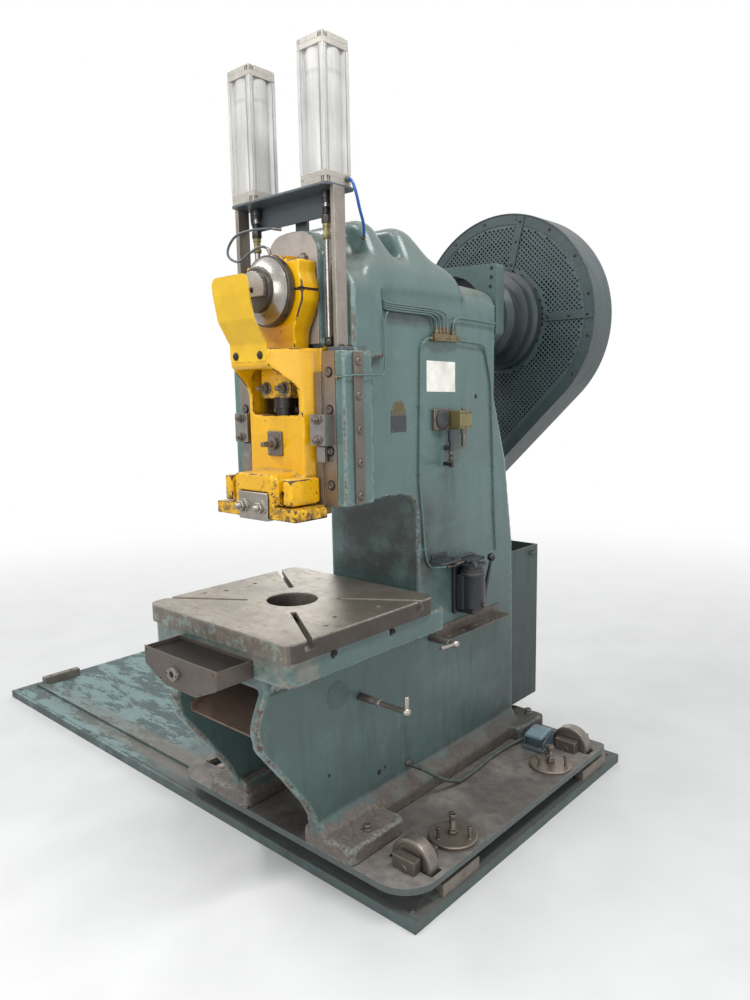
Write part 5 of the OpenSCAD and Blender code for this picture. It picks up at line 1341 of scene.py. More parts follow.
def make_guide_screws():
    """Cap screws of the gib bars on dark discs of painted shade in their counterbores and of the side strips with
    bright rings over dark discs of painted shade, and the stop blocks' nuts on studs."""
    dark, pale = several(2)
    for s in SIDES:
        for z in (1.602, 1.4895, 1.365, 1.261):
            at = (s * 0.2, -0.0014, z)
            # Dark disc in the counterbore: painted shade.
            dark.add(*lathe([(16.5, 0), (16.5, 0.4), (16, 0.7)], at, FRONT, 36))
            pale.add(*lathe([(10.8, 0.8), (10.8, 4.2), (10, 5), (6.6, 5), (6, 4.6), (5.6, 2)], at, FRONT, 26))
        for z in (1.633, 1.53, 1.428, 1.328, 1.226):
            at = (s * 0.2669, 0.058, z)
            # Dark disc round the strip screw: painted shade.
            dark.add(*lathe([(14, 0), (14, 0.3), (13.6, 0.5)], at, (s, 0, 0), 32))
            pale.add(*lathe([(12.8, 0), (12.8, 0.9), (12, 1.2)], at, (s, 0, 0), 32))
            pale.add(*lathe([(9.8, 0.8), (9.8, 4.3), (9, 5), (6, 5), (5.6, 4.6), (5.2, 2)], at, (s, 0, 0), 26))
        for z in (1.4, 1.462):
            at = (s * 0.182, -0.0381, z)
            pale.add(*lathe([(15.8, 0), (16, 0.6), (16, 2.4), (15, 3)], at, FRONT, 30))
            pale.add(*hexagon(0.0128, 0.003, 0.0118, at, FRONT))
            pale.add(*threaded(0.0068, 0.0118, 0.0196, at, FRONT, 0.0015, 18))
    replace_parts(pale.make("guide_cap_screws", "bolt"), "guide_screws")
    dark.make("guide_screw_seat_shade", "hole_shade")


def make_eccentric():
    """Turned parts of the eccentric: dark locking ring with spanner holes drawn as dark discs of painted shade,
    polished cone, dark step, and the crank pin's end with its cut."""
    ring, cone, end = several(3)
    at = (0.0, -0.042, SLEEVE)
    ring.add(*lathe([(104, 0), (106.8, 1.2), (106.8, 21.8), (105.8, 22.9), (101.2, 23)], at, FRONT, 144))
    cone.add(*lathe([(100.8, 22.8), (100.8, 26.2), (99.8, 27.4), (73, 52.4), (71.6, 53), (67.5, 53)], at, FRONT, 144))
    end.add(*lathe([(66.8, 52.5), (66.8, 65.5), (65.5, 66.8), (56, 67)], at, FRONT, 96))
    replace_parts(ring.make("eccentric_lock_ring", "turned_dark", "crank", sharp=25), "lock_ring")
    cone.make("polished_cone", "turned", "crank", sharp=25)
    end.make("eccentric_step", "turned_dark", "crank", sharp=25)
    # Spanner holes drawn as dark discs: painted shade.
    holes = Parts()
    for a in np.radians((45, 135, 225, 315)):
        holes.add(*lathe([(7.8, -0.5), (7.8, 0.4), (7, 0.5)], (0.1069 * cos(a), -0.053, SLEEVE + 0.1069 * sin(a)),
            (cos(a), 0, sin(a)), 18))
    holes.make("lock_ring_hole_shade", "hole_shade", "crank")
    shape = oval(0.0, SLEEVE, 0.0548, 0.0548, 96)
    shape[:, 1] = np.maximum(shape[:, 1], SLEEVE - 0.0205)
    made("crank_pin_end", *prism(shape, -0.1212, -0.106, "xz", 0.0012), "cover", "crank", sharp=30)
    at = (0, -0.1211, SLEEVE)
    screw = Parts().add(*lathe([(8.5, 0), (8.5, 1.6), (7, 2.4)], at, FRONT, 24))
    screw.add(*hexagon(0.0058, 0.002, 0.0052, at, FRONT))
    screw.make("crank_pin_screw", "black_steel", "crank")


def make_ram_fittings():
    """Rod clamp nuts on washers, the tool clamp with its nuts, and the adjusting spindle's flange, boss and square
    end."""
    nuts, clamp, spindle, flange = several(4)
    for x in (-0.042, 0.042):
        at = (x, -0.038, 1.557)
        nuts.add(*lathe([(20, 0), (20.2, 0.6), (20.2, 3.4), (19, 4.2)], at, FRONT, 36))
        nuts.add(*hexagon(0.017, 0.004, 0.0188, at, FRONT)).add(*threaded(0.0078, 0.0188, 0.0376, at, FRONT, 0.002, 20))
        nuts.add(*hexagon(0.015, 0.0, 0.0098, (x, 0.0342, 1.557), BACK))
    for s in SIDES:
        at = (s * 0.102, 0.0, 1.9381)
        nuts.add(*lathe([(15, 0), (15.2, 0.5), (15.2, 1.6)], at, UP, 30))
        nuts.add(*hexagon(0.0158, 0.0015, 0.0128, at, UP)).add(*threaded(0.0088, 0.0128, 0.0196, at, UP, 0.002, 20))
    nuts.add(*lathe([(6.8, 1938), (6.8, 1963), (5.5, 1965.5)], (-0.032, -0.012, 0), UP, 18))
    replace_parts(nuts.make("rod_clamp_nuts", "bolt", "connecting_rod"), "conrod_studs")
    clamp.add(*slab(-0.0688, 0.0688, -0.1498, -0.1222, 1.1555, 1.2418, 0.004, 0.002, "xz"))
    for x in (-0.043, 0.043):
        at = (x, -0.1498, 1.197)
        clamp.add(*lathe([(22, 0), (22.2, 0.6), (22.2, 3), (21, 3.6)], at, FRONT, 36))
        clamp.add(*hexagon(0.0188, 0.0035, 0.018, at, FRONT))
        clamp.add(*threaded(0.0088, 0.018, 0.0338, at, FRONT, 0.002, 20))
    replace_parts(clamp.make("tool_clamp_set", "ground", "ram"), "tool_clamp")
    plate = outline([(-33, 1346, 6), (33, 1346, 6), (33, 1424, 6), (-33, 1424, 6)], 5)
    flange.add(*prism(plate, -0.0528, -0.0452, "xz", 0.0012))
    for x in (-0.025, 0.025):
        for z in (1.354, 1.416):
            flange.add(*lathe([(5.2, 0), (5.2, 1.2), (4, 2), (2.4, 2.1), (2, 1.2)], (x, -0.0527, z), FRONT, 16))
    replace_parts(flange.make("spindle_plate", "strip", "ram"), "spindle_flange")
    spindle.add(*lathe([(11.9, -15.5), (11.9, 0), (17.8, 0.6), (18.9, 1.8), (18.9, 11.2), (17.6, 12.6), (11.9, 13),
        (11.9, 25)], (0.0, -0.0534, 1.385), FRONT, 36))
    spindle.add(*slab(-0.0079, 0.0079, -0.1028, -0.0775, 1.3771, 1.3929, 0.0012, 0.0012, "xz"))
    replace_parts(spindle.make("spindle_end", "bolt", "spindle", sharp=30), "adjusting_spindle")


# Foot switch and rear parts


def make_foot_switch():
    """Foot switch: cast base with ears, hinged pedal worn at its rim with grip ribs, cable entry with a bright nut,
    and the wall gland."""
    base, pedal, steel = several(3)
    base.add(*slab(0.3402, 0.4338, 0.8922, 0.9898, 0.116, 0.1318, 0.008, 0.0018))
    base.add(*slab(0.3442, 0.4298, 0.9182, 0.9858, 0.131, 0.1598, 0.006, 0.0022))
    for x in (0.3432, 0.4262):
        ear = outline([(900.5, 131, 0), (985.5, 131, 0), (985.5, 185.8, 12), (959, 185.8, 12), (900.5, 156, 10)], 5)
        base.add(*prism(ear, x, x + 0.0046, "yz", 0.0008))
    u, v = np.meshgrid(np.linspace(0, 1, 29), np.linspace(0, 1, 25), indexing="ij")
    y, x = 0.8945 + 0.0895 * u, 0.3503 + 0.0734 * v
    z = 0.1802 + 0.0126 * np.sin(held(u * 1.15) * pi / 2) - 0.006 * held((u - 0.86) / 0.14) ** 2
    rim = np.minimum(v, 1 - v)
    z = z + 0.0009 * np.sin(u * 2 * pi * 9) * held(rim * 12 - 0.6) * (u < 0.85) - 0.003 * held(1 - rim / 0.07) ** 2
    topside = np.stack([x, y, z], -1).reshape(-1, 3)
    under = topside * (1, 1, 0) + np.stack([0 * x, 0 * x, 0.1705 - 0.002 * u], -1).reshape(-1, 3)
    pedal.add(np.vstack([topside, under]), sheet_faces(*u.shape))
    pedal.add(*lathe([(4, 341.2), (4, 432.8)], (0, 0.972, 0.172), RIGHT, 16))
    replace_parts(base.make("foot_switch_base", "switch"), "foot_switch")
    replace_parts(pedal.make("foot_pedal_plate", "blue", "pedal"), "foot_pedal")
    gland = (0.215, 0.323, 0.238)
    steel.add(*hexagon(0.012, 0.0, 0.011, gland, RIGHT))
    steel.add(*lathe([(9.8, 11), (10, 20.5), (8.8, 21.8)], gland, RIGHT, 26))
    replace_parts(steel.make("wall_gland", "bolt"), "cable_gland")


def make_foot_bolts():
    """Foot bolts: washer and socket screw standing on each foot."""
    bolts = Parts()
    for x, y in ((-0.315, 0.005), (0.315, 0.005), (-0.25, 1.09), (0.25, 1.09)):
        bolts.add(*lathe([(16.8, 0), (17, 0.6), (17, 4), (15.8, 5)], (x, y, 0.1721), UP, 32))
        bolts.add(*lathe([(12.2, 0), (13, 1.2), (13, 12.2), (11.8, 13.9), (7.5, 13.9), (7, 12.8), (6.8, 6)],
            (x, y, 0.1771), UP, 24))
    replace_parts(bolts.make("foot_screws", "worn"), "foot_bolts")


# Paint and metal sets


def casting_marks(g, c, rough, metal, middle, fine):
    """Feet rubbed to brown iron, dark oil on the column's front and under the pump, chips down the bed's front edge,
    painted shade low on the rear wall and along the seam under the oil pipes, and a pale painted highlight on rubbed
    edges.
    """
    up, broad = g.face("Z", 0.4, 0.9), g.noise(2.2, 4.0, 0.6)
    foot = g.mul(g.span("Z", 0.235, 0.15), g.between(g.sum(middle, fine, 0.4), 0.36, 0.72, 0.35, 1.0))
    top = g.mul(g.mul(up, g.span("Z", 0.3, 0.26)), 0.95)
    rub = g.most(foot, top)
    blotch = g.between(g.sum(g.noise(17.0, 5.0, 0.7, shift=21.0), rub, 0.6), 0.74, 0.88)
    iron_brown = g.mix(g.between(fine, 0.35, 0.7), "4f4843", "736a62")
    c = g.mix(blotch, c, iron_brown)
    rough = g.plus(rough, g.mul(blotch, 0.18))
    column = g.mul(g.box((-0.2, 0.25), (0.36, 0.5), (0.86, 1.16), 0.05),
        g.between(g.noise(9.0, 5.0, 0.7, shift=31.0), 0.32, 0.54))
    under = g.mul(g.box((0.18, 0.25), (0.46, 0.92), (0.2, 0.7), 0.1),
        g.between(g.noise(15.0, 4.0, 0.6, stretch=(1, 1, 0.12), shift=33.0), 0.46, 0.66))
    plinth = g.mul(g.box((0.15, 0.4), (0.14, 1.1), (0.11, 0.215), 0.02), g.between(middle, 0.35, 0.62, 0.35, 1.0))
    crown = g.mul(g.mul(g.span("Z", 1.78, 1.86), g.face("Z", 0.05, 0.75)),
        g.between(g.sum(broad, middle, 0.5), 0.55, 0.95, 0.25, 0.85))
    c = g.mix(g.mul(crown, 0.62), c, "776f66")
    stain = g.mul(g.box((0.2, 0.24), (0.3, 0.62), (0.88, 1.17), 0.06),
        g.between(g.noise(13.0, 6.0, 0.75, stretch=(1, 0.45, 1), shift=51.0), 0.36, 0.52))
    c = g.mix(g.mul(g.most(column, stain), 0.9), c, "2b2a28")
    c = g.mix(g.mul(under, 0.45), c, "2d3230")
    c = g.mix(g.mul(plinth, 0.62), c, "3a342f")
    # Dark band along the seam under the oil pipes: painted shade with some grime.
    pipe_seam_shade = g.mul(g.box((0.2, 0.25), (0.24, 0.5), (1.752, 1.812), 0.008), g.between(middle, 0.3, 0.6, 0.4, 0.9))
    c = g.mix(g.mul(pipe_seam_shade, 0.7), c, "2f3331")
    # Lower rear of the wall darker: painted shade.
    rear = g.mul(g.span("Y", 0.55, 1.15), g.span("Z", 0.95, 0.45))
    c = g.mix(g.mul(rear, g.between(middle, 0.2, 0.7, 0.45, 0.8)), c, "2e3633")
    lip = g.mul(g.box(None, (-0.36, -0.2), (0.735, 0.815), 0.01),
        g.between(g.sum(g.noise(16.0, 6.0, 0.75, shift=61.0), fine, 0.2), 0.52, 0.66))
    c = g.mix(g.mul(lip, 0.75), c, "7d7a70")
    spill = g.mul(g.box((0.2, 0.24), (0.555, 0.625), (1.02, 1.3), 0.022),
        g.between(g.noise(34.0, 4.0, 0.6, stretch=(1, 1, 0.1), shift=63.0), 0.4, 0.6))
    # Pale line along the casting's convex edges: painted highlight on rubbed paint.
    edge_highlight_line = g.mul(g.between(g.add("Attribute", out="Fac", attribute_name="edge"), 0.16, 0.4),
        g.between(fine, 0.35, 0.6))
    c = g.mix(g.mul(spill, 0.55), c, "2f3330")
    c = g.mix(g.mul(edge_highlight_line, 0.22), c, "b9c9c4")
    nose = g.mul(g.box((0.1, 0.26), (-0.42, -0.31), (0.44, 0.7), 0.015),
        g.between(g.noise(30.0, 6.0, 0.75, shift=41.0), 0.53, 0.57))
    c = g.mix(nose, c, "5a4234")
    return c, g.most(rough, g.mul(nose, 0.6)), metal


def floor_marks(g, c, rough, metal, middle, fine):
    """Floor plate: pale scraped paint on the left, black rubber scrapes, a brown trodden band at the front, dirty
    tracks."""
    far = g.span("X", -0.62, -0.95)
    scrape = g.mul(far, g.between(g.sum(g.noise(5.0, 6.0, 0.75, stretch=(1.0, 2.6, 1.0), shift=3.0), fine, 0.2), 0.58,
        0.63))
    c = g.mix(g.mul(far, 0.42), c, "8fb2b2")
    c = g.mix(g.mul(scrape, 0.7), c, "33393b")
    # Sides of the plate darker than its top: painted shade and dirt.
    side_shade = g.face("Z", 0.8, 0.3)
    c = g.mix(g.mul(side_shade, g.between(middle, 0.28, 0.66, 0.45, 0.95)), c, "434b49")
    trod = g.mul(g.span("X", -1.05, -0.55), g.between(middle, 0.3, 0.6, 0.55, 0.95))
    top = g.face("Z", 0.5, 0.9)
    c = g.mix(g.mul(g.mul(trod, top), 0.72), c, "4a4a49")
    band = g.mul(g.mul(g.span("Y", 0.115, 0.095), g.span("Y", -0.05, -0.03)), g.mul(top, g.span("X", -2.2, -0.9)))
    c = g.mix(g.mul(band, g.between(fine, 0.3, 0.7, 0.45, 0.9)), c, "7b726a")
    bars = g.mul(g.span("Z", 0.05, 0.0515), g.span("Z", 0.049, 0.0515))
    stops = g.most(bars, g.box((0.543, 0.585), (0.04, 0.26), (0.0345, 0.08), 0.0008))
    stops = g.most(stops, g.box((0.543, 0.585), (0.94, 1.14), (0.0345, 0.08), 0.0008))
    brown = g.mix(g.between(middle, 0.3, 0.7), "6f6358", "4d443c")
    c = g.mix(stops, c, brown)
    orange = g.mul(g.mul(g.box((0.55, 0.58), (0.085, 0.205), (0.07, 0.09), 0.004), top),
        g.between(g.noise(60.0, 5.0, 0.7, shift=8.0), 0.42, 0.55))
    c = g.mix(orange, c, "d79a55")
    near = g.mul(top, g.span("X", 0.1, 0.4))
    c = g.mix(g.mul(near, g.between(middle, 0.26, 0.6, 0.4, 0.9)), c, "4f514f")
    return c, g.plus(rough, g.mul(g.most(trod, far), 0.16)), metal


def plate_marks(g, c, rough, metal, middle, fine):
    """Carriage plate: paint gone from its top, oily brown steel, teal left on its rim, sides darker as painted shade
    and dirt, and pale edges that are rubbed paint with a painted highlight.
    """
    top = g.face("Z", 0.7, 0.95)
    gone = g.mul(top, g.between(g.sum(g.noise(7.0, 6.0, 0.7, shift=14.0), fine, 0.25), 0.34, 0.52, 0.72, 1.0))
    brown = g.mix(g.between(g.noise(24.0, 5.0, 0.7, shift=5.0), 0.35, 0.65), "67625f", "858079")
    c = g.mix(gone, c, brown)
    # Sides of the plate darker than its top: painted shade and dirt.
    side_shade = g.face("Z", 0.8, 0.3)
    c = g.mix(g.mul(side_shade, g.between(g.sum(middle, fine, 0.3), 0.4, 0.78, 0.45, 0.95)), c, "484c4a")
    # Pale line along the plate's edges: painted highlight on rubbed paint.
    bright = g.mul(g.corner(0.004), g.between(fine, 0.3, 0.6))
    c = g.mix(g.mul(bright, 0.6), c, "a9b3b0")
    oil = g.mul(top, g.between(g.noise(3.2, 4.0, 0.6, shift=25.0), 0.47, 0.6))
    c = g.mix(g.mul(oil, 0.55), c, "332f2c")
    return c, g.plus(rough, g.mul(gone, 0.12)), metal


def gib_marks(g, c, rough, metal, middle, fine):
    """Tan oil film on the upper part of the bronze-faced guide bars."""
    high = g.mul(g.between(g.sum(g.axis("Z"), middle, 0.1), 1.58, 1.7), 0.6)
    low = g.mul(g.between(g.sum(g.axis("Z"), middle, 0.1), 1.4, 1.26), 0.35)
    return g.mix(g.most(high, low), c, "8c745a"), rough, metal


def tube_marks(g, c, rough, metal, middle, fine):
    """Cylinder profiles: painted shade in the grooves where the barrel meets its corner columns, and a faint ring round
    the barrel near the top."""
    u = g.math("ABSOLUTE", g.math("SUBTRACT", g.math("ABSOLUTE", g.axis("X")), CYL_X))
    v = g.math("ABSOLUTE", g.math("SUBTRACT", g.axis("Y"), CYL_Y))
    nx, ny = g.math("ABSOLUTE", g.facing("X")), g.math("ABSOLUTE", g.facing("Y"))
    # Dark lines in the grooves beside the corner columns: painted shade.
    lines = None
    for along, front in ((u, ny), (v, nx)):
        groove = g.mul(g.between(g.math("ABSOLUTE", g.math("SUBTRACT", along, 0.0388)), 0.0034, 0.0012),
            g.between(front, 0.55, 0.75))
        lines = groove if lines is None else g.most(lines, groove)
    c = g.mix(g.mul(lines, 0.62), c, "55534f")
    barrel = g.between(g.most(g.mul(u, g.between(ny, 0.5, 0.7)), g.mul(v, g.between(nx, 0.5, 0.7))), 0.0375, 0.035)
    ring = g.mul(g.mul(barrel, g.between(g.math("ABSOLUTE", g.math("SUBTRACT", g.axis("Z"), 2.45)), 0.01, 0.003)), 0.22)
    return g.mix(ring, c, "6f6d6a"), rough, metal


def bolster_marks(g, c, rough, metal, middle, fine):
    """Bolster: scoured grey top with a bright front rim that is a painted highlight on rubbed steel, brown sides with
    remains of teal paint on the front, the sides facing right darker as painted shade and those facing the front paler
    as painted light.
    """
    side = g.face("Z", 0.8, 0.4)
    brown = g.mix(g.between(g.noise(20.0, 6.0, 0.75, shift=5.0), 0.4, 0.6), "5f554c", "463d37")
    c = g.mix(g.mul(side, 0.88), c, brown)
    # Sides facing right darker: painted shade.
    right = g.mul(side, g.face("X", 0.5, 0.9))
    c = g.mix(g.mul(right, 0.72), c, "37322e")
    # Pale band along the top of the sides: painted highlight on the rubbed rim.
    crest = g.mul(g.span("Z", 0.86, 0.8675), side)
    c = g.mix(g.mul(crest, g.between(middle, 0.3, 0.6, 0.3, 0.9)), c, "b5aea3")
    front = g.mul(g.mul(g.span("Y", -0.315, -0.322), side), g.between(g.noise(24.0, 6.0, 0.8, shift=18.0), 0.53, 0.57))
    # Sides facing the front paler: painted light.
    face = g.mul(side, g.face("Y", -0.5, -0.9))
    c = g.mix(g.mul(face, g.between(middle, 0.3, 0.65, 0.05, 0.45)), c, "8b8479")
    c = g.mix(g.mul(front, 0.6), c, "83998f")
    return c, g.plus(rough, g.mul(side, 0.15)), g.math("SUBTRACT", metal, g.mul(side, 0.5), clamp=True)


def yellow_marks(z_dark, y_dark):
    """Oil, black scuffs and flakes low on the yellow castings, golden-brown painted shade towards the back, and dark
    painted shade inside the ram's window.
    """

    def extra(g, c, rough, metal, middle, fine):
        # Farther back, deeper in the guides, golden-brown: painted shade.
        deep = g.mul(g.span("Y", y_dark, y_dark + 0.05), 0.75)
        c = g.mix(deep, c, "6b4a12")
        foot = g.mul(g.span("Z", z_dark + 0.06, z_dark), g.between(g.noise(26.0, 5.0, 0.75, shift=13.0), 0.42, 0.6))
        c = g.mix(g.mul(foot, 0.92), c, "2f261c")
        # Inside of the ram's window darker: painted shade.
        window_shade = g.box((-0.135, 0.135), (0.012, 0.3), (1.455, 1.65), 0.012)
        c = g.mix(g.mul(window_shade, g.between(middle, 0.2, 0.6, 0.65, 0.95)), c, "3b3128")
        low = g.span("Z", z_dark + 0.14, z_dark + 0.08)
        flakes = g.between(g.sum(g.noise(75.0, 6.0, 0.78, shift=23.0), g.noise(12.0, 3.0, 0.6, shift=27.0), 0.5),
            0.83, 0.85)
        c = g.mix(g.mul(g.most(g.mul(low, 0.95), g.between(middle, 0.62, 0.66, 0.0, 0.9)), flakes), c, "2b241c")
        scuff = g.mul(g.between(g.noise(11.0, 6.0, 0.8, shift=17.0), 0.6, 0.66), g.between(middle, 0.4, 0.6))
        c = g.mix(g.mul(scuff, 0.45), c, "6e4c14")
        return c, rough, metal

    return extra


def make_materials():
    press = bpy.context.scene.press_paint
    teal, yellow, guard = tuple(press.teal), tuple(press.yellow), tuple(press.guard)
    m = {}
    m["casting"] = paint("teal_casting", teal, chip_at=1.07, grime=0.9, gloss=0.26, cast=True, low=1.0,
        extra=casting_marks)
    m["floor"] = paint("floor_plate_paint", scaled(teal, 1.02), chips=1.2, grime=1.3, gloss=0.4, round_by=0.002,
        spots=0.4, extra=floor_marks)
    m["plate"] = paint("carriage_paint", scaled(teal, 0.95), chips=0.8, gloss=0.36, extra=plate_marks)
    m["ram"] = paint("ram_yellow", yellow, chips=1.1, chip_at=0.99, grime=0.8, gloss=0.26, cast=True, bare="4f4740",
        spots=0.35, film="4a3514", extra=yellow_marks(1.17, -0.02))
    m["rod"] = paint("rod_yellow", yellow, chip_at=1.02, grime=0.45, gloss=0.28, cast=True, bare="4f4740", spots=0.55,
        film="4a3514", extra=yellow_marks(1.53, 0.0))
    m["sheet"] = paint("sheet_yellow", (yellow[0] * 0.98, yellow[1] * 1.1, yellow[2]), chips=0.5, grime=0.25,
        gloss=0.17, bare="4f4740", film="6a4d17", round_by=0.0)
    m["guard"] = paint("guard_paint", scaled(guard, 0.66), chips=0.5, grime=0.9, gloss=0.36, round_by=0.002)
    m["guard_mesh"] = paint("guard_mesh_paint", scaled(guard, 0.85), chips=0.0, grime=0.9, gloss=0.4, round_by=0.0)
    m["hub"] = paint("hub_paint", scaled(guard, 0.38), chips=0.3, grime=1.4, gloss=0.42)
    m["bracket"] = paint("bracket_paint", scaled(teal, 0.68), chips=0.9, grime=0.7, gloss=0.28)
    m["cabinet"] = paint("cabinet_paint", scaled(teal, 0.42), chips=0.5, grime=1.5, gloss=0.42, low=0.5)
    m["motor"] = paint("motor_paint", "4d5f66", chips=0.4, grime=1.2, gloss=0.42)
    m["pipe"] = paint("pipe_paint", scaled(teal, 0.95), chips=0.5, grime=0.8, gloss=0.34, round_by=0.0)
    m["black_paint"] = paint("black_paint", "24272a", chips=0.8, grime=0.8, gloss=0.3, bare="6a6259", round_by=0.002)
    m["deck"] = paint("deck_paint", "4b5358", chips=0.6, grime=0.7, gloss=0.34, round_by=0.001)
    m["blue"] = paint("pedal_blue", "6d8a98", chips=1.2, grime=0.9, gloss=0.34, round_by=0.002, spots=0.5)
    m["switch"] = paint("switch_grey", "4a565e", grime=1.2, gloss=0.36, round_by=0.002, spots=0.4)
    m["steel"] = iron("bare_steel", "8a8681", rough=0.36, rust=0.18, grime=0.5)
    m["ground"] = iron("ground_steel", "9a948b", rough=0.34, rust=0.12, grime=0.35, grain=(1.0, 0.08, 1.0))
    m["bolster"] = iron("bolster_steel", "968e82", rough=0.4, rust=0.22, grime=0.45, grain=(0.1, 1.0, 1.0),
        scratch=0.8, round_by=0.002, extra=bolster_marks)
    m["worn"] = iron("worn_steel", "746d66", rough=0.45, rust=0.4)
    m["roller"] = iron("roller_steel", "877f77", rough=0.38, rust=0.25, grime=0.4, bright=0.6)
    m["gib"] = iron("gib_steel", "7d746a", rough=0.4, metal=0.7, rust=0.18, grime=0.35, grain=(1, 1, 0.06),
        extra=gib_marks)
    m["strip"] = iron("strip_steel", "6e665f", metal=0.7, rust=0.22, grime=0.4, grain=(1, 1, 0.08))
    m["turned"] = iron("turned_steel", "a09b94", rough=0.24, rust=0.04, grime=0.15, scratch=0.3, turned=(0.0, SLEEVE),
        bump=0.00006)
    m["turned_dark"] = iron("turned_dark", "5f5a55", rough=0.36, rust=0.15, grime=0.55, turned=(0.0, SLEEVE),
        bump=0.00006)
    m["cover"] = iron("cover_grey", "aaa39c", rough=0.45, metal=0.35, rust=0.06, grime=0.25)
    m["black_steel"] = iron("black_steel", "35322f", rough=0.36, metal=0.8, rust=0.1, grime=0.4, bright=0.8)
    m["bolt"] = iron("bolt_steel", "6f6861", rough=0.38, grime=0.5, bright=0.5)
    m["chrome"] = iron("bright_steel", "8f8b86", rough=0.3, metal=1.0, rust=0.04, grime=0.2)
    m["crank"] = iron("crank_steel", "a39e97", rough=0.28, rust=0.12, grime=0.35)
    m["brass"] = iron("old_brass", "72654c", rough=0.38, metal=0.6, rust=0.12, film="33291a")
    m["brass_pale"] = iron("pale_brass", "7f7650", rough=0.4, metal=0.55, rust=0.05, grime=0.65, film="4a4023")
    m["bronze"] = iron("bronze", "9a7440", rough=0.34, metal=0.9, rust=0.05, grime=0.5)
    m["alu"] = iron("drawn_aluminium", "b3b2af", rough=0.36, metal=0.3, rust=0.0, grime=0.06, grain=(1, 1, 0.03),
        scratch=0.08, bright=0.3, extra=tube_marks)
    m["alu_cast"] = iron("cast_aluminium", "a39e96", rough=0.48, metal=0.3, rust=0.02, grime=0.2, bright=0.3)
    m["post"] = iron("post_steel", "8e867e", rough=0.4, metal=0.7, rust=0.15, grime=0.3, grain=(1, 1, 0.05))
    m["chute"] = iron("chute_sheet", "6e5b50", rough=0.55, metal=0.3, rust=0.35, grime=0.5)
    m["box"] = iron("box_sheet", "5c554f", metal=0.6, grime=0.5, bright=0.7)
    m["wheel"] = paint("wheel_paint", "3c4649", chips=0.4, grime=1.3, gloss=0.42)
    m["rubber"] = plastic("rubber", "2a2b2c", rough=0.55)
    m["cable"] = plastic("cable_sheath", "3b4746", rough=0.48, grime=0.6)
    m["hose_blue"] = plastic("hose_blue", "2458a8", rough=0.3, grime=0.1)
    m["hose_dark"] = plastic("hose_dark", "4a5055", rough=0.42, grime=0.3)
    m["knob"] = plastic("knob_black", "17181a", rough=0.18, grime=0.05)
    m["paper"] = plastic("paper", "e4e2da", rough=0.85, grime=0.0, round_by=0.0)
    m["plate_brass"] = iron("name_plate_brass", "6e654a", rough=0.34, metal=0.75, rust=0.05, grime=0.35, round_by=0.0)
    m["plate_dark"] = iron("name_plate_dark", "3b3f42", rough=0.36, metal=0.4, rust=0.03, grime=0.3, round_by=0.0)
    # Near-black, unlit look for holes and slot openings: painted shade.
    m["hole_shade"] = iron("painted_hole_shade", "191715", rough=0.85, metal=0.0, rust=0.0, grime=0.2, scratch=0.1,
        round_by=0.0, bright=0.0)
    m["disc"] = iron("disc_steel", "857a70", rough=0.4, metal=0.8, rust=0.25, grime=0.35, bright=1.0)
    m["stop"] = iron("stop_steel", "7c756d", rough=0.46, metal=0.55, rust=0.35, grime=0.35, bright=0.5)
    return m


NODE_LOOKS = {
    "floor": "floor_plate", "plate": "carriage_plate", "worn": "tool_shelf", "steel": "stop_blocks",
    "bolster": "bolster", "chute": "scrap_chute", "gib": "gib_bars", "strip": "side_strips", "cover": "front_cover",
    "bronze": "main_bushes", "turned": "crankshaft eccentric_sleeve", "black_steel": "adjusting_screw valve_handle",
    "chrome": "balance_rods", "wheel": "flywheel motor_pulley", "guard": "flywheel_guard", "hub": "bearing_hub",
    "bracket": "rear_bracket", "motor": "drive_motor", "rubber": "drive_belts", "cabinet": "rear_cabinet",
}


def dress_nodes():
    """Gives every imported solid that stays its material."""
    for look, names in NODE_LOOKS.items():
        for name in names.split():
            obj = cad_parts[name]
            if not obj.material_slots:
                raise RuntimeError(f"{name} has no material slot")
            for k in range(len(obj.material_slots)):
                obj.material_slots[k].link = "OBJECT"
                obj.material_slots[k].material = material_of(look)


# Operators and panel


SHOP = {}
DONE = {"FINISHED"}


def material_of(look):
    """The material of a look; the first call makes them all."""
    if not SHOP:
        SHOP.update(make_materials())
    return SHOP[look]


class PRESS_OT_stage(Operator):
    """Camera, floor, world and lamps"""

    bl_idname, bl_label = "press.stage", "Stage"

    def execute(self, context):
        make_camera()
        make_stage()
        return DONE


class PRESS_OT_cable(Operator):
    """Foot switch cable with its sleeves"""

    bl_idname, bl_label = "press.cable", "Cable"

    def execute(self, context):
        make_cable(context.scene.press_shape)
        return DONE


class PRESS_OT_dress(Operator):
    """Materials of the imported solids"""

    bl_idname, bl_label = "press.dress", "Materials"

    def execute(self, context):
        dress_nodes()
        return DONE


class PRESS_OT_frame(Operator):
    """Frame casting"""

    bl_idname, bl_label = "press.frame", "Frame casting"

    def execute(self, context):
        make_frame(context.scene.press_shape)
        return DONE


class PRESS_OT_castings(Operator):
    """Ram, rod and cap castings"""

    bl_idname, bl_label = "press.castings", "Moving castings"

    def execute(self, context):
        make_moving_castings()
        return DONE


class PRESS_OT_cover(Operator):
    """Bent sheet before the eccentric"""

    bl_idname, bl_label = "press.cover", "Bent cover"

    def execute(self, context):
        make_sheet_cover()
        return DONE


class PRESS_OT_guard(Operator):
    """Perforated flywheel guard and its trim"""

    bl_idname, bl_label = "press.guard", "Flywheel guard"

    def execute(self, context):
        make_guard_mesh(context.scene.press_shape)
        make_guard_trim()
        return DONE


class PRESS_OT_cylinders(Operator):
    """Balancing cylinders with their caps, screws and collars"""

    bl_idname, bl_label = "press.cylinders", "Cylinders"

    def execute(self, context):
        make_cylinders()
        return DONE


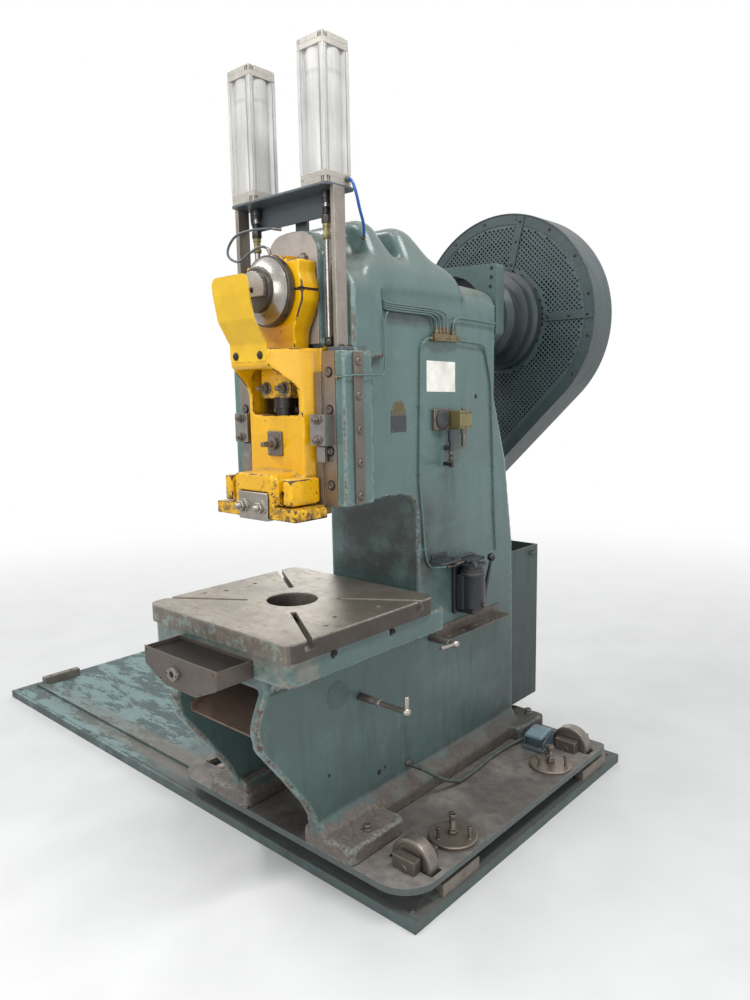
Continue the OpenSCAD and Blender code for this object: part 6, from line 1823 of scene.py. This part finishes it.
class PRESS_OT_deck(Operator):
    """Cylinder deck with its posts and nuts"""

    bl_idname, bl_label = "press.deck", "Cylinder deck"

    def execute(self, context):
        make_deck()
        return DONE


class PRESS_OT_rods(Operator):
    """Nuts and rings of the balancing rods"""

    bl_idname, bl_label = "press.rods", "Rod fittings"

    def execute(self, context):
        make_rod_fittings()
        return DONE


class PRESS_OT_hoses(Operator):
    """Air hose and lubricator hose with their ends"""

    bl_idname, bl_label = "press.hoses", "Hoses"

    def execute(self, context):
        make_hoses()
        return DONE


class PRESS_OT_pipes(Operator):
    """Oil pipes, clips and distributor"""

    bl_idname, bl_label = "press.pipes", "Oil pipes"

    def execute(self, context):
        make_pipes()
        return DONE


class PRESS_OT_wall(Operator):
    """Bare plates, paper, rivets and holes of the frame's side"""

    bl_idname, bl_label = "press.wall", "Wall plates"

    def execute(self, context):
        make_wall_plates()
        return DONE


class PRESS_OT_air(Operator):
    """Air service unit"""

    bl_idname, bl_label = "press.air", "Air unit"

    def execute(self, context):
        make_air_unit()
        return DONE


class PRESS_OT_pump(Operator):
    """Oil pump and its lever"""

    bl_idname, bl_label = "press.pump", "Oil pump"

    def execute(self, context):
        make_pump()
        return DONE


class PRESS_OT_rollers(Operator):
    """Rollers of the carriage"""

    bl_idname, bl_label = "press.rollers", "Rollers"

    def execute(self, context):
        make_rollers()
        return DONE


class PRESS_OT_axles(Operator):
    """Axle blocks and pins"""

    bl_idname, bl_label = "press.axles", "Axle blocks"

    def execute(self, context):
        make_axle_blocks()
        return DONE


class PRESS_OT_discs(Operator):
    """Levelling discs with their screws"""

    bl_idname, bl_label = "press.discs", "Levelling discs"

    def execute(self, context):
        make_discs()
        return DONE


class PRESS_OT_stops(Operator):
    """Stop bars and floor screws"""

    bl_idname, bl_label = "press.stops", "Stop bars"

    def execute(self, context):
        make_stop_bars()
        return DONE


class PRESS_OT_box(Operator):
    """Box under the table"""

    bl_idname, bl_label = "press.box", "Front box"

    def execute(self, context):
        make_front_box()
        return DONE


class PRESS_OT_slots(Operator):
    """Ends of the bed's clamping slots"""

    bl_idname, bl_label = "press.slots", "Bed slots"

    def execute(self, context):
        make_bed_slots()
        return DONE


class PRESS_OT_cranks(Operator):
    """Crank handles"""

    bl_idname, bl_label = "press.cranks", "Cranks"

    def execute(self, context):
        make_cranks()
        return DONE


class PRESS_OT_guides(Operator):
    """Screws and nuts of the ram's guides"""

    bl_idname, bl_label = "press.guides", "Guide screws"

    def execute(self, context):
        make_guide_screws()
        return DONE


class PRESS_OT_eccentric(Operator):
    """Turned parts of the eccentric"""

    bl_idname, bl_label = "press.eccentric", "Eccentric"

    def execute(self, context):
        make_eccentric()
        return DONE


class PRESS_OT_ram(Operator):
    """Nuts, clamp and spindle of ram and rod"""

    bl_idname, bl_label = "press.ram", "Ram fittings"

    def execute(self, context):
        make_ram_fittings()
        return DONE


class PRESS_OT_switch(Operator):
    """Foot switch and cable gland"""

    bl_idname, bl_label = "press.switch", "Foot switch"

    def execute(self, context):
        make_foot_switch()
        return DONE


class PRESS_OT_feet(Operator):
    """Foot bolts"""

    bl_idname, bl_label = "press.feet", "Foot bolts"

    def execute(self, context):
        make_foot_bolts()
        return DONE


class PRESS_PT_panel(Panel):
    """Sidebar panel with the settings and one button for each group of pieces"""

    bl_label, bl_space_type, bl_region_type, bl_category = "Press", "VIEW_3D", "UI", "Press"

    def draw(self, context):
        for group in (context.scene.press_paint, context.scene.press_shape):
            for key in group.__annotations__:
                self.layout.prop(group, key)
        for operator in OPERATORS:
            self.layout.operator(operator.bl_idname)


OPERATORS = [
    PRESS_OT_stage, PRESS_OT_cable, PRESS_OT_dress, PRESS_OT_frame, PRESS_OT_castings,
    PRESS_OT_cover, PRESS_OT_guard, PRESS_OT_cylinders, PRESS_OT_deck, PRESS_OT_rods,
    PRESS_OT_hoses, PRESS_OT_pipes, PRESS_OT_wall, PRESS_OT_air, PRESS_OT_pump,
    PRESS_OT_rollers, PRESS_OT_axles, PRESS_OT_discs, PRESS_OT_stops, PRESS_OT_box,
    PRESS_OT_slots, PRESS_OT_cranks, PRESS_OT_guides, PRESS_OT_eccentric, PRESS_OT_ram,
    PRESS_OT_switch, PRESS_OT_feet,
]
CLASSES = (PressPaint, PressShape, *OPERATORS, PRESS_PT_panel)


def register():
    for one in CLASSES:
        bpy.utils.register_class(one)
    bpy.types.Scene.press_paint = PointerProperty(type=PressPaint)
    bpy.types.Scene.press_shape = PointerProperty(type=PressShape)


def unregister():
    del bpy.types.Scene.press_paint, bpy.types.Scene.press_shape
    for one in reversed(CLASSES):
        bpy.utils.unregister_class(one)


def main():
    register()
    for operator in OPERATORS:
        group, name = operator.bl_idname.split(".")
        getattr(getattr(bpy.ops, group), name)()


if __name__ == "__main__":
    main()
